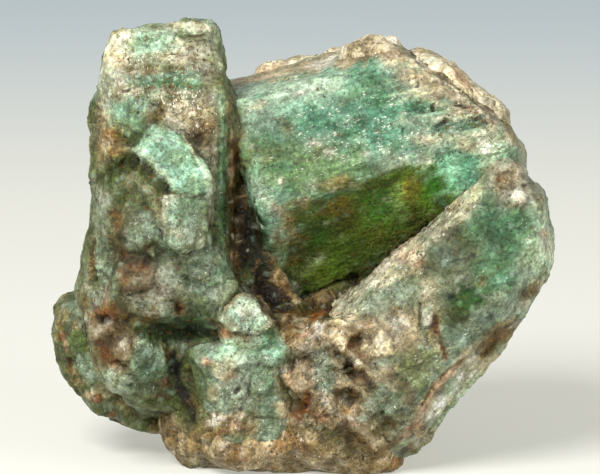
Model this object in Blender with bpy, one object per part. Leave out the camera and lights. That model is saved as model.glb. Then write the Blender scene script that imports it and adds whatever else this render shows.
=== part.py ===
"""A hand specimen of emerald in matrix: stout six-sided beryl crystals grown together out of rough rock.

Six pieces: the matrix, three large emerald crystals (main, upright and leaning), a stub between them and a
small worn one at the side. Everything is modelled in millimetres in one frame and scaled to metres at the
end: +X right, -Y towards the specimen's good face, +Z up, standing on the flat broken foot of the matrix.
"""

import math
import random

import bmesh
import bpy
from mathutils import Matrix, Vector, noise

MM = 0.001
GAP = 0.32  # clearance between neighbouring solids
GRAIN = 0.34  # voxel that fuses each piece's chunks
FINE_GRAIN = 0.25  # voxel that cleans a piece after it has been fitted to its neighbours
BIG = 60.0  # side of the blank that a crystal is cut from
BREAKS = 9  # flat breaks on a lump, unless told otherwise
BREAK_DEPTH = (0.68, 0.92)  # how far out from a lump's middle its breaks lie, as a share of its radius
SLOW_ROUGHNESS = 0.8  # how fast the finer swells fade
SLOW_STEP = 2.1  # how much finer each layer of swells is than the last
SLOW_LAYERS = 3
GRIT_MIDDLE = 0.55  # usual distance from a grain's middle, where the grit neither raises nor sinks the skin
SHIFT = Vector((7.1, 3.7, 5.3))  # where in the noise each next seed starts
FACETS = {
    "main_crystal": 2100,
    "upright_crystal": 2400,
    "leaning_crystal": 1700,
    "stub_crystal": 600,
    "side_crystal": 500,
    "matrix": 2500,
}
STONE = {  # colour and roughness
    "main_crystal": ((0.14, 0.34, 0.19), 0.45),
    "upright_crystal": ((0.30, 0.40, 0.24), 0.55),
    "leaning_crystal": ((0.33, 0.40, 0.26), 0.55),
    "stub_crystal": ((0.42, 0.50, 0.36), 0.5),
    "side_crystal": ((0.27, 0.32, 0.18), 0.5),
    "matrix": ((0.42, 0.33, 0.22), 0.8),
}


def clear_scene():
    for obj in list(bpy.data.objects):
        bpy.data.objects.remove(obj, do_unlink=True)


# ---------------------------------------------------------------- blanks and chunks


def cut_with(bm, point, normal):
    """Removes what lies in front of a plane and closes the cut with a flat face."""
    geometry = bm.verts[:] + bm.edges[:] + bm.faces[:]
    cut = bmesh.ops.bisect_plane(
        bm, geom=geometry, plane_co=point, plane_no=normal, clear_outer=True, dist=1e-5
    )
    rim = [item for item in cut["geom_cut"] if isinstance(item, bmesh.types.BMEdge)]
    if rim:
        bmesh.ops.contextual_create(bm, geom=rim)


def block(planes, middle):
    """A convex block: a cube about the middle, cut back to each (point, normal) plane."""
    bm = bmesh.new()
    bmesh.ops.create_cube(bm, size=BIG, matrix=Matrix.Translation(middle))
    for point, normal in planes:
        cut_with(bm, Vector(point), Vector(normal).normalized())
    return bm


def prism_planes(centre, axis, towards, flats, first=0.0):
    """The side planes of a six-sided prism. flats gives each face's distance from the axis, the first face
    turned by first degrees from the direction towards, and the others 60 degrees apart."""
    axis = Vector(axis).normalized()
    out = Vector(towards) - axis * Vector(towards).dot(axis)
    out.normalize()
    across = axis.cross(out)
    planes = []
    for number, distance in enumerate(flats):
        angle = math.radians(first + 60 * number)
        normal = out * math.cos(angle) + across * math.sin(angle)
        planes.append((Vector(centre) + normal * distance, normal))
    return planes


def chunk(centre, radii, seed, cuts=BREAKS, turn=0.0, flats=()):
    """A broken lump: an ellipsoid with flat breaks at seeded directions and at the named ones in flats."""
    dice = random.Random(seed)
    bm = bmesh.new()
    bmesh.ops.create_icosphere(bm, subdivisions=3, radius=1.0)
    for _ in range(cuts):
        normal = Vector([dice.gauss(0, 1) for _ in range(3)]).normalized()
        cut_with(bm, normal * dice.uniform(*BREAK_DEPTH), normal)
    for x, y, z, share in flats:
        normal = Vector((x, y, z)).normalized()
        cut_with(bm, normal * share, normal)
    place = Matrix.Translation(centre) @ Matrix.Rotation(math.radians(turn), 4, "Y")
    bmesh.ops.transform(bm, matrix=place @ Matrix.Diagonal((*radii, 1)), verts=bm.verts)
    return bm


def hull(points):
    """The tight convex block round a few corner points."""
    bm = bmesh.new()
    for point in points:
        bm.verts.new(point)
    made = bmesh.ops.convex_hull(bm, input=bm.verts)
    inside = [item for item in made["geom_interior"] if isinstance(item, bmesh.types.BMVert)]
    bmesh.ops.delete(bm, geom=inside, context="VERTS")
    return bm


# ---------------------------------------------------------------- fusing, wearing and fitting


def object_of(name, mesh):
    obj = bpy.data.objects.new(name, mesh)
    bpy.context.scene.collection.objects.link(obj)
    return obj


def apply_modifiers(obj):
    """Bakes an object's modifiers into its mesh."""
    bpy.context.view_layer.update()
    graph = bpy.context.evaluated_depsgraph_get()
    baked = bpy.data.meshes.new_from_object(obj.evaluated_get(graph), depsgraph=graph)
    obj.modifiers.clear()
    obj.data = baked


def fuse(obj, grain=GRAIN):
    remesh = obj.modifiers.new("fuse", "REMESH")
    remesh.mode = "VOXEL"
    remesh.voxel_size = grain
    apply_modifiers(obj)


def piece(name, chunks):
    """One object from overlapping closed chunks, fused into a single skin."""
    whole = bmesh.new()
    for bm in chunks:
        bmesh.ops.recalc_face_normals(bm, faces=bm.faces)
        part = bpy.data.meshes.new("chunk")
        bm.to_mesh(part)
        bm.free()
        whole.from_mesh(part)
        bpy.data.meshes.remove(part)
    mesh = bpy.data.meshes.new(name)
    whole.to_mesh(mesh)
    whole.free()
    obj = object_of(name, mesh)
    fuse(obj)
    return obj


def grow_on(obj, bm):
    """Fuses one more chunk to a piece, with its edges left sharp."""
    bmesh.ops.recalc_face_normals(bm, faces=bm.faces)
    bm.from_mesh(obj.data)
    bm.to_mesh(obj.data)
    bm.free()
    fuse(obj, FINE_GRAIN)


def weather(obj, swell, swell_size, grit, grit_size, seed):
    """Moves the skin in and out: slow swells, and blocky grit with sharp steps between the grains."""
    bm = bmesh.new()
    bm.from_mesh(obj.data)
    bm.normal_update()
    shift = SHIFT * seed
    moves = []
    for vert in bm.verts:
        slow = noise.fractal((vert.co + shift) / swell_size, SLOW_ROUGHNESS, SLOW_STEP, SLOW_LAYERS)
        near = noise.voronoi((vert.co + shift) / grit_size)[0]
        moves.append(vert.normal * (swell * slow + grit * (GRIT_MIDDLE - near[0])))
    for vert, move in zip(bm.verts, moves):
        vert.co += move
    bm.to_mesh(obj.data)
    bm.free()
    fuse(obj, FINE_GRAIN)


def socket_of(obj):
    """A hidden cutter that is the piece grown by the clearance all round."""
    cutter = object_of("socket_" + obj.name, obj.data.copy())
    cutter.hide_render = True
    cutter.display_type = "WIRE"
    grow = cutter.modifiers.new("grow", "DISPLACE")
    grow.mid_level = 0.0
    grow.strength = GAP
    apply_modifiers(cutter)
    fuse(cutter, FINE_GRAIN)
    return cutter


def make_room(obj, neighbours):
    """Cuts each neighbour, with its clearance, out of a piece."""
    for neighbour in neighbours:
        cutter = socket_of(neighbour)
        cut = obj.modifiers.new("room", "BOOLEAN")
        cut.operation = "DIFFERENCE"
        cut.solver = "MANIFOLD"  # dense closed meshes, where the exact solver loses a whole lump
        cut.object = cutter
        apply_modifiers(obj)
        bpy.data.objects.remove(cutter, do_unlink=True)
    keep_largest(obj)
    fuse(obj, FINE_GRAIN)


def keep_largest(obj):
    """Drops the crumbs that a cut leaves beside the main body."""
    bm = bmesh.new()
    bm.from_mesh(obj.data)
    left = set(bm.verts)
    islands = []
    while left:
        front = [left.pop()]
        island = list(front)
        while front:
            for edge in front.pop().link_edges:
                for vert in edge.verts:
                    if vert in left:
                        left.remove(vert)
                        front.append(vert)
                        island.append(vert)
        islands.append(island)
    islands.sort(key=len, reverse=True)
    for island in islands[1:]:
        bmesh.ops.delete(bm, geom=island, context="VERTS")
    bm.to_mesh(obj.data)
    bm.free()


def finish(obj):
    """Thins the skin to its share of triangles, cuts the foot flat and gives the piece its material."""
    thin = obj.modifiers.new("thin", "DECIMATE")
    thin.ratio = FACETS[obj.name] / (2 * len(obj.data.polygons))
    thin.use_collapse_triangulate = True
    apply_modifiers(obj)
    bm = bmesh.new()
    bm.from_mesh(obj.data)
    cut_with(bm, Vector((0, 0, 0)), Vector((0, 0, -1)))
    bmesh.ops.triangulate(bm, faces=bm.faces)
    bm.to_mesh(obj.data)
    bm.free()
    keep_largest(obj)
    colour, roughness = STONE[obj.name]
    material = bpy.data.materials.new(obj.name + "_stone")
    material.use_nodes = True
    shader = material.node_tree.nodes["Principled BSDF"]
    shader.inputs["Base Color"].default_value = (*colour, 1.0)
    shader.inputs["Roughness"].default_value = roughness
    shader.inputs["Metallic"].default_value = 0.0
    obj.data.materials.clear()
    obj.data.materials.append(material)


# ---------------------------------------------------------------- the pieces


def upright_crystal():
    """The tall crystal on the left: a tapering prism with a bevelled top and a broken overgrowth on its face."""
    axis = (0.045, 0.0, 1.0)
    centre = (-8.5, 0.5, 12.0)
    sides = prism_planes(centre, axis, (0, -1, 0), (3.5, 4.6, 3.1, 4.2, 3.5, 4.3))
    ends = [
        ((-8.0, -3.0, 22.6), (-0.03, -0.74, 0.67)),  # bevelled top, facing forward and up
        ((-8.0, 1.0, 25.9), (-0.10, 0.30, 0.95)),  # top, falling away behind
        ((-11.9, 0.0, 23.2), (-0.93, -0.08, 0.36)),  # top left shoulder
        ((-4.9, 0.0, 24.8), (0.97, 0.0, 0.20)),  # top right shoulder
        ((-12.6, 0.0, 18.0), (-1.0, 0.0, 0.0)),  # left edge, worn off
        ((-4.1, 0.0, 12.0), (1.0, 0.0, -0.03)),  # right edge, worn off
        ((-11.9, 0.0, 6.2), (-0.85, -0.05, -0.52)),  # lower left break
        ((-9.0, -5.0, 4.7), (0.0, -0.36, -0.93)),  # lower break
    ]
    prism = block(sides + ends, centre)
    growth = [
        chunk((-9.4, -2.5, 15.0), (2.9, 2.7, 3.2), 11, flats=((0, -1, 0.15, 0.8),)),
        chunk((-6.4, -2.3, 13.6), (2.0, 3.0, 4.4), 12, flats=((0.2, -1, 0.1, 0.82),)),
        chunk((-8.9, -2.4, 10.8), (3.2, 3.0, 3.4), 13, flats=((0, -1, 0, 0.85),)),
        chunk((-5.9, -2.1, 10.3), (2.3, 2.8, 2.8), 14),
        chunk((-10.0, -2.3, 7.1), (2.6, 2.8, 2.9), 15, flats=((-0.3, -1, 0.1, 0.85),)),
        chunk((-12.3, -0.4, 10.9), (1.0, 2.2, 2.8), 16, cuts=12),
        chunk((-6.4, -0.2, 25.7), (1.4, 1.2, 0.7), 17),
    ]
    flake = hull(
        [
            (-10.0, -5.3, 18.1),
            (-9.0, -3.7, 20.0),
            (-7.6, -3.5, 20.0),
            (-6.5, -3.8, 19.2),
            (-5.4, -4.8, 17.6),
            (-5.3, -5.4, 15.6),
            (-5.7, -5.8, 13.8),
            (-7.4, -6.2, 13.4),
            (-8.4, -6.4, 15.7),
            (-8.2, -2.5, 19.0),
            (-5.6, -2.5, 17.8),
            (-5.6, -2.5, 13.8),
            (-7.4, -2.5, 15.6),
        ]
    )
    obj = piece("upright_crystal", [prism, *growth])
    weather(obj, swell=0.22, swell_size=2.4, grit=0.22, grit_size=1.3, seed=1)
    grow_on(obj, flake)
    return obj


def main_crystal():
    """The large emerald in the middle: a thick prism lying back to the right, its flat end in the cleft."""
    axis = Vector((0.962, 0.087, 0.258))
    centre = (-0.1, 4.5, 16.4)
    sides = prism_planes(centre, axis, (0, -1, 0), (7.5, 6.6, 6.9, 6.9, 6.9, 6.2), first=-28.0)
    sides += prism_planes(centre, axis, (0, -1, 0), (7.85,), first=-4.0)  # front edge, worn blunt
    ends = [
        ((-2.76, -3.5, 16.0), -axis),  # flat end face, towards the cleft
        ((8.7, 1.9, 21.9), (0.60, 0.10, 0.79)),  # broken shoulder at the upper right
        ((12.7, 0.0, 17.0), (0.96, -0.10, 0.10)),  # broken right end
        ((3.0, 7.6, 16.0), (0.08, 1.0, 0.12)),  # broken back
    ]
    prism = block(sides + ends, centre)
    obj = piece("main_crystal", [prism])
    weather(obj, swell=0.20, swell_size=4.5, grit=0.10, grit_size=1.1, seed=2)
    return obj


def leaning_crystal():
    """The crystal at the lower right: a prism rising to the right at about 40 degrees, its face in front."""
    axis = Vector((0.707, 0.05, 0.705))
    centre = (7.0, 1.5, 9.3)
    sides = prism_planes(centre, axis, (0, -1, 0), (5.7, 7.2, 6.0, 5.6, 6.0, 3.4), first=-25.0)
    ends = [
        ((10.1, 0.0, 5.0), (0.75, -0.10, -0.65)),  # long break down the lower right
        ((13.9, 0.0, 14.6), (0.95, -0.15, 0.28)),  # upper end
        ((14.9, 0.0, 12.6), (0.98, 0.0, -0.20)),  # right end
        ((13.3, 0.0, 9.5), (0.86, -0.10, -0.50)),  # right end, lower down
        ((12.8, -3.3, 16.0), (0.50, -0.62, 0.60)),  # rounded upper corner
        ((12.0, -1.0, 17.9), (0.15, 0.35, 0.92)),  # top, falling away behind
        ((13.2, -3.6, 11.0), (0.72, -0.66, -0.20)),  # rounded right corner
        ((3.1, 1.0, 5.4), -axis),  # lower end, where the granular rock takes over
        ((5.0, 6.6, 10.0), (0.0, 1.0, 0.05)),  # broken back
    ]
    prism = block(sides + ends, centre)
    growth = [
        chunk((12.3, -2.6, 15.4), (2.0, 1.9, 1.9), 31),
        chunk((12.6, -1.6, 12.4), (1.9, 2.6, 2.4), 32),
        chunk((5.0, -2.2, 3.2), (2.3, 2.4, 3.0), 33, turn=-40),
    ]
    obj = piece("leaning_crystal", [prism, *growth])
    weather(obj, swell=0.26, swell_size=3.2, grit=0.18, grit_size=1.2, seed=3)
    return obj


def stub_crystal():
    """The short pale crystal low in the middle, its blunt end to the front."""
    centre = (-3.5, -2.4, 5.0)
    planes = [
        ((-3.5, -5.2, 5.0), (0.05, -0.98, -0.12)),  # blunt front
        ((-5.7, -4.6, 5.0), (-0.90, -0.28, -0.34)),  # left side, leaning in at the bottom
        ((-3.5, -4.9, 7.5), (-0.05, -0.20, 0.98)),  # top, tilted forward
        ((-0.9, -4.6, 5.0), (0.92, -0.38, 0.0)),  # right side
        ((-3.5, -4.9, 2.3), (0.0, -0.35, -0.94)),  # underside
        ((-3.5, 0.2, 5.0), (0.0, 1.0, 0.0)),  # root in the rock
        ((-6.0, -4.9, 7.3), (-0.62, -0.45, 0.64)),  # upper left corner, broken
        ((-1.4, -4.9, 2.6), (0.6, -0.45, -0.66)),  # lower right corner, broken
    ]
    lumps = [
        chunk((-4.4, -3.9, 6.7), (1.4, 1.5, 1.2), 41),
        chunk((-2.3, -3.9, 5.8), (1.5, 1.5, 1.6), 42),
        chunk((-3.9, -3.7, 3.4), (1.9, 1.7, 1.6), 43),
    ]
    obj = piece("stub_crystal", [block(planes, centre), *lumps])
    weather(obj, swell=0.16, swell_size=1.8, grit=0.18, grit_size=1.0, seed=4)
    return obj


def side_crystal():
    """The small worn crystal that sits low behind the upright one, on the left."""
    axis = Vector((-0.26, 0.10, 0.96))
    centre = (-11.9, 2.6, 5.6)
    sides = prism_planes(centre, axis, (0, -1, 0), (2.3, 2.4, 2.5, 2.4, 2.6, 2.5), first=12.0)
    ends = [
        ((-13.3, 2.6, 9.2), (-0.12, -0.1, 0.98)),
        ((-14.6, 2.6, 8.6), (-0.84, -0.1, 0.53)),
        ((-11.4, 2.6, 1.9), (-0.30, -0.15, -0.94)),
        ((-13.3, 2.6, 3.2), (-0.78, -0.1, -0.62)),
    ]
    obj = piece("side_crystal", [block(sides + ends, centre)])
    weather(obj, swell=0.20, swell_size=2.6, grit=0.10, grit_size=1.1, seed=5)
    return obj


def matrix_rock():
    """The rough rock that the crystals grew from: foot, back, cleft filling, crust and the blocky front."""
    foot = [
        chunk((-0.6, 1.4, 2.4), (8.2, 6.0, 4.2), 51, cuts=14),
        chunk((3.2, -1.8, 2.6), (3.8, 3.4, 3.6), 52, cuts=12),
        chunk((-5.2, -1.2, 2.6), (3.4, 3.2, 3.4), 53, cuts=12),
    ]
    back = [
        chunk((0.8, 6.4, 8.4), (8.8, 4.2, 8.8), 54, cuts=16),
        chunk((8.6, 6.0, 12.6), (5.4, 4.4, 6.6), 55, cuts=16),
        chunk((-6.0, 5.2, 6.8), (4.6, 3.6, 6.2), 56, cuts=14),
        chunk((1.0, 8.0, 16.6), (6.4, 2.7, 7.0), 57, cuts=16),
        chunk((7.6, 7.6, 17.4), (5.4, 3.0, 5.6), 68, cuts=16),
    ]
    cleft = [
        chunk((-3.3, 0.6, 19.6), (1.5, 2.0, 3.4), 58),
        chunk((-3.0, 0.4, 14.4), (1.6, 2.2, 3.8), 59),
        chunk((-2.7, -0.5, 10.8), (1.6, 2.2, 2.6), 60),
        chunk((-1.4, -1.9, 8.6), (2.4, 1.8, 1.9), 61),
        chunk((-0.8, 2.0, 6.0), (4.4, 4.2, 4.2), 69),
    ]
    crust = [
        chunk((4.7, 3.4, 23.4), (2.4, 4.6, 1.5), 62),
        chunk((0.8, 4.0, 22.4), (4.0, 4.8, 1.1), 63, turn=-14),
        chunk((-2.6, 3.0, 21.6), (2.4, 4.0, 1.3), 64, turn=-14),
        chunk((7.6, 3.8, 22.0), (3.0, 4.6, 1.6), 65, turn=34),
        chunk((10.2, 3.2, 19.6), (2.9, 4.6, 1.8), 66, turn=42),
        chunk((12.2, 2.2, 17.0), (1.8, 4.2, 2.4), 67, turn=30),
    ]
    front = [
        chunk((-3.3, -3.5, 9.1), (1.7, 1.6, 1.4), 71),
        chunk((0.4, -2.8, 7.6), (1.9, 2.0, 1.7), 70),
        chunk((2.2, -3.6, 7.6), (2.2, 1.9, 1.7), 72),
        chunk((3.9, -4.0, 5.8), (2.2, 1.8, 1.9), 73, turn=35),
        chunk((1.0, -3.6, 5.3), (2.0, 2.0, 2.0), 74),
        chunk((3.7, -3.6, 3.4), (2.3, 2.0, 2.2), 75),
        chunk((0.9, -3.4, 2.6), (2.6, 2.2, 2.2), 76),
        chunk((-3.6, -3.4, 1.7), (2.6, 2.0, 1.5), 77),
    ]
    obj = piece("matrix", foot + back + cleft + crust + front)
    weather(obj, swell=0.35, swell_size=2.8, grit=0.42, grit_size=1.5, seed=6)
    return obj


def centre_on_origin(pieces):
    """Shifts the specimen so that the middle of its box, seen from above, is the origin."""
    corners = [vert.co for obj in pieces for vert in obj.data.vertices]
    middle = [(min(c[i] for c in corners) + max(c[i] for c in corners)) / 2 for i in (0, 1)]
    place = Matrix.Scale(MM, 4) @ Matrix.Translation((-middle[0], -middle[1], 0))
    for obj in pieces:
        obj.data.transform(place)
        obj.data.update()


def build():
    clear_scene()
    upright = upright_crystal()
    finish(upright)
    main = main_crystal()
    make_room(main, [upright])
    finish(main)
    leaning = leaning_crystal()
    make_room(leaning, [main])
    finish(leaning)
    side = side_crystal()
    make_room(side, [upright])
    finish(side)
    stub = stub_crystal()
    make_room(stub, [upright, leaning])
    finish(stub)
    rock = matrix_rock()
    make_room(rock, [upright, main, leaning, side, stub])
    finish(rock)
    centre_on_origin([upright, main, leaning, side, stub, rock])


build()
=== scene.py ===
"""Emerald in matrix: weathered green beryl crystals held in a granular rock, on a plain pale sweep.

Lengths are millimetres until a mesh is written. A place on the front of the specimen is given as seen from
the front: `across` is mm to the right of the middle, and `up` is mm up the plane that faces the camera.
The rows of dents, fields, dabs and strokes are listed one by one, and each is laid over the ones before it.
"""
import itertools
import math

import bmesh
import bpy
import numpy as np
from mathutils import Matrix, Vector
from mathutils.bvhtree import BVHTree


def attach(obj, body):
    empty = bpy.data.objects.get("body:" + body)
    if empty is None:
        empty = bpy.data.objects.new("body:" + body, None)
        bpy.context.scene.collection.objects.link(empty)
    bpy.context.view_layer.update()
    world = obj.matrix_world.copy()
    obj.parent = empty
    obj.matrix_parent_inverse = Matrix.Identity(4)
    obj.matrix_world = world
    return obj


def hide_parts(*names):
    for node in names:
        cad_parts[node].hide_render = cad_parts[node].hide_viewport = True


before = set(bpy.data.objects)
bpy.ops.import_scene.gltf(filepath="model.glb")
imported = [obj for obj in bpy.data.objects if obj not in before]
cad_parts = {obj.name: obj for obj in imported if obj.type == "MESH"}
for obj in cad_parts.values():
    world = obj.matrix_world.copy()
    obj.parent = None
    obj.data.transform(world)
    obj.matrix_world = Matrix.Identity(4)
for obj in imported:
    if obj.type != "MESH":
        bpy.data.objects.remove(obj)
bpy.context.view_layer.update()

MM = 0.001
TILT = math.radians(10)  # how far the camera looks down
TOWARD_CAMERA = (0, -math.cos(TILT), math.sin(TILT))
CAMERA_AWAY = 250.0
PICTURE_WIDTH = 600  # pixels
PIXELS_PER_MM = 17
VIEW_WIDTH = PICTURE_WIDTH / PIXELS_PER_MM  # mm of the specimen that the picture's width takes in
VIEW_MIDDLE = (-0.176, -2.2, 13.44)  # the point that the picture's middle looks at
SENSOR = 36.0
DEPTH = 0.81  # the share of a finish's brightness that the stone is given
CONTRAST = 1.2  # the power that darkens dark finishes more than bright ones

# Finishes: the colours that the stone shows in soft daylight.
MINT = "a9c8ab"
PALE_MINT = "c8d8be"
AQUA = "98bba2"
TEAL = "70a98a"
SEA_GREEN = "608b63"
DEEP_SEA = "3f7348"
LEAF = "7a9258"
GREY_GREEN = "6c774c"
MILKY = "93a48e"
MOSS = "545f24"
OLIVE = "474a12"
FOREST = "2c4f18"
GRASS = "566c26"
GLASS_GREEN = "8ec6a8"
EMERALD = "3c6c28"
# near-black green: dark grains on the lower facet, and painted shade in the cleft and under the main
# crystal's lower edge
NIGHT_GREEN = "10190a"
CREAM = "e4d8b8"
IVORY = "f4eddb"
PEACH = "cfae90"
CLAY = "b09f80"
TAN = "9b875c"
BROWN = "624a1c"
RUST = "9a5c12"
AMBER = "8a661a"
# near-black: dark specks and pits, and painted shade in seams, the cleft and the gap under the main crystal
SOOT_AND_SHADE = "140b05"
WHITE = "f4f5ee"
STONE_GREY = "aca895"


def srgb(code):
    """The linear colour of a hex code."""
    values = np.array([int(code[i : i + 2], 16) / 255 for i in (0, 2, 4)])
    return np.where(values <= 0.04045, values / 12.92, ((values + 0.055) / 1.055) ** 2.4)


# ---------------------------------------------------------------- repeatable randomness

CELL_PRIMES = (73856093, 19349663, 83492791)  # keep neighbouring cells apart
SEED_STEP = 40503
STIR_PRIMES = (2654435761, 2246822519, 3266489917)
LOW_BITS = 0xFFFFFF


def lattice(cells, seed):
    """A repeatable random number from 0 to 1 for each whole-number cell."""
    x, y, z = (cells[..., k] * prime for k, prime in enumerate(CELL_PRIMES))
    mixed = ((x ^ y ^ z) + seed * SEED_STEP) * STIR_PRIMES[0]
    mixed = (mixed ^ (mixed >> 15)) * STIR_PRIMES[1]
    mixed = (mixed ^ (mixed >> 13)) * STIR_PRIMES[2]
    return ((mixed ^ (mixed >> 16)) & LOW_BITS) / LOW_BITS


CLOUD_SHIFT = 7.31  # how far the seed moves a pattern
GRAIN_SHIFT = 3.17
MIDDLE_SEEDS = (11, 23, 37)  # added to the seed for the place of a grain's middle
SLOPE_SEEDS = (61, 67, 71)  # added to the seed for the tilt of a chip's top
NUMBER_SEED = 53  # added to the seed for a grain's own number
CHIP_STEP = 0.6  # how far one chip's height may be from another's, in chip sizes
TURN = np.array([[0.36, 0.48, -0.80], [-0.80, 0.60, 0.00], [0.48, 0.64, 0.60]])
CORNERS = np.array(list(itertools.product((0, 1), repeat=3)))
NEAR_CELLS = np.array(list(itertools.product((-1, 0, 1), repeat=3)))


def clouds(points, size, seed):
    """Smooth noise from -1 to 1 whose lumps are about `size` across."""
    at = points @ TURN.T / size + seed * CLOUD_SHIFT
    cell = np.floor(at).astype(np.int64)
    part = at - cell
    part = part * part * (3 - 2 * part)
    total = np.zeros(len(points))
    for corner in CORNERS:
        share = np.where(corner == 1, part, 1 - part).prod(1)
        total += share * lattice(cell + corner, seed)
    return 2 * total - 1


def layered(points, size, seed, layers=3, rough=0.5):
    """Several clouds, each half the size of the last."""
    total = 0
    for k in range(layers):
        turned = points @ np.linalg.matrix_power(TURN, k)
        total = total + rough**k * clouds(turned, size / 2**k, seed + k)
    return total


def three_numbers(cells, seed, steps):
    """Three repeatable random numbers from 0 to 1 for each cell."""
    return np.stack([lattice(cells, seed + step) for step in steps], 1)


def nearest_grain(points, size, seed):
    """The cell of each point's grain, the way to the point from the grain's middle, and how far that is."""
    at = points @ TURN / size + seed * GRAIN_SHIFT
    cell = np.floor(at).astype(np.int64)
    owner, way, best = cell, at, np.full(len(points), np.inf)
    for near in NEAR_CELLS:
        other = cell + near
        offset = at - other - three_numbers(other, seed, MIDDLE_SEEDS)
        away = np.linalg.norm(offset, axis=1)
        closer = away < best
        best = np.where(closer, away, best)
        owner = np.where(closer[:, None], other, owner)
        way = np.where(closer[:, None], offset, way)
    return owner, way, best


def grains(points, size, seed):
    """How far each point is from the middle of its grain (0 to about 1), and the grain's random number."""
    owner, _, away = nearest_grain(points, size, seed)
    return np.clip(away, 0, 1), lattice(owner, seed + NUMBER_SEED)


def chips(points, size, seed):
    """Broken-rock relief from about -0.5 to 0.5: each grain has its own height and its own tilted top."""
    owner, way, _ = nearest_grain(points, size, seed)
    slope = three_numbers(owner, seed, SLOPE_SEEDS) - 0.5
    return (way * slope).sum(1) + CHIP_STEP * (lattice(owner, seed + NUMBER_SEED) - 0.5)


def ramp(value, low, high):
    """0 below low, 1 above high, smooth between; low may be the larger."""
    t = np.clip((value - low) / (high - low), 0, 1)
    return t * t * (3 - 2 * t)


def squeezed(points, axis, share):
    """The points with a share of their way along the axis taken out, to draw a pattern out along it."""
    axis = np.array(axis)
    return points - share * (points @ axis)[:, None] * axis


# ---------------------------------------------------------------- a surface that is shaped and tinted

WOBBLE_SEEDS = (5, 9)
WOBBLE_SIZE = 1.3  # mm between the bends of an uneven edge
FRAY_SEED = 15
FRAY_SIZE = 0.55  # mm across the patches of a broken edge
SOLID = 0.98  # a share above this, or below 1 - SOLID, isn't frayed
FACING = (-0.1, 0.25)  # a face counts as front between these cosines of its turn from the camera
WELD = 0.001  # corners of a CAD mesh this near are one
CRYSTAL_GRAIN = 0.13  # mm between the points of a remeshed crystal
ROCK_GRAIN = 0.155


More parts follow.
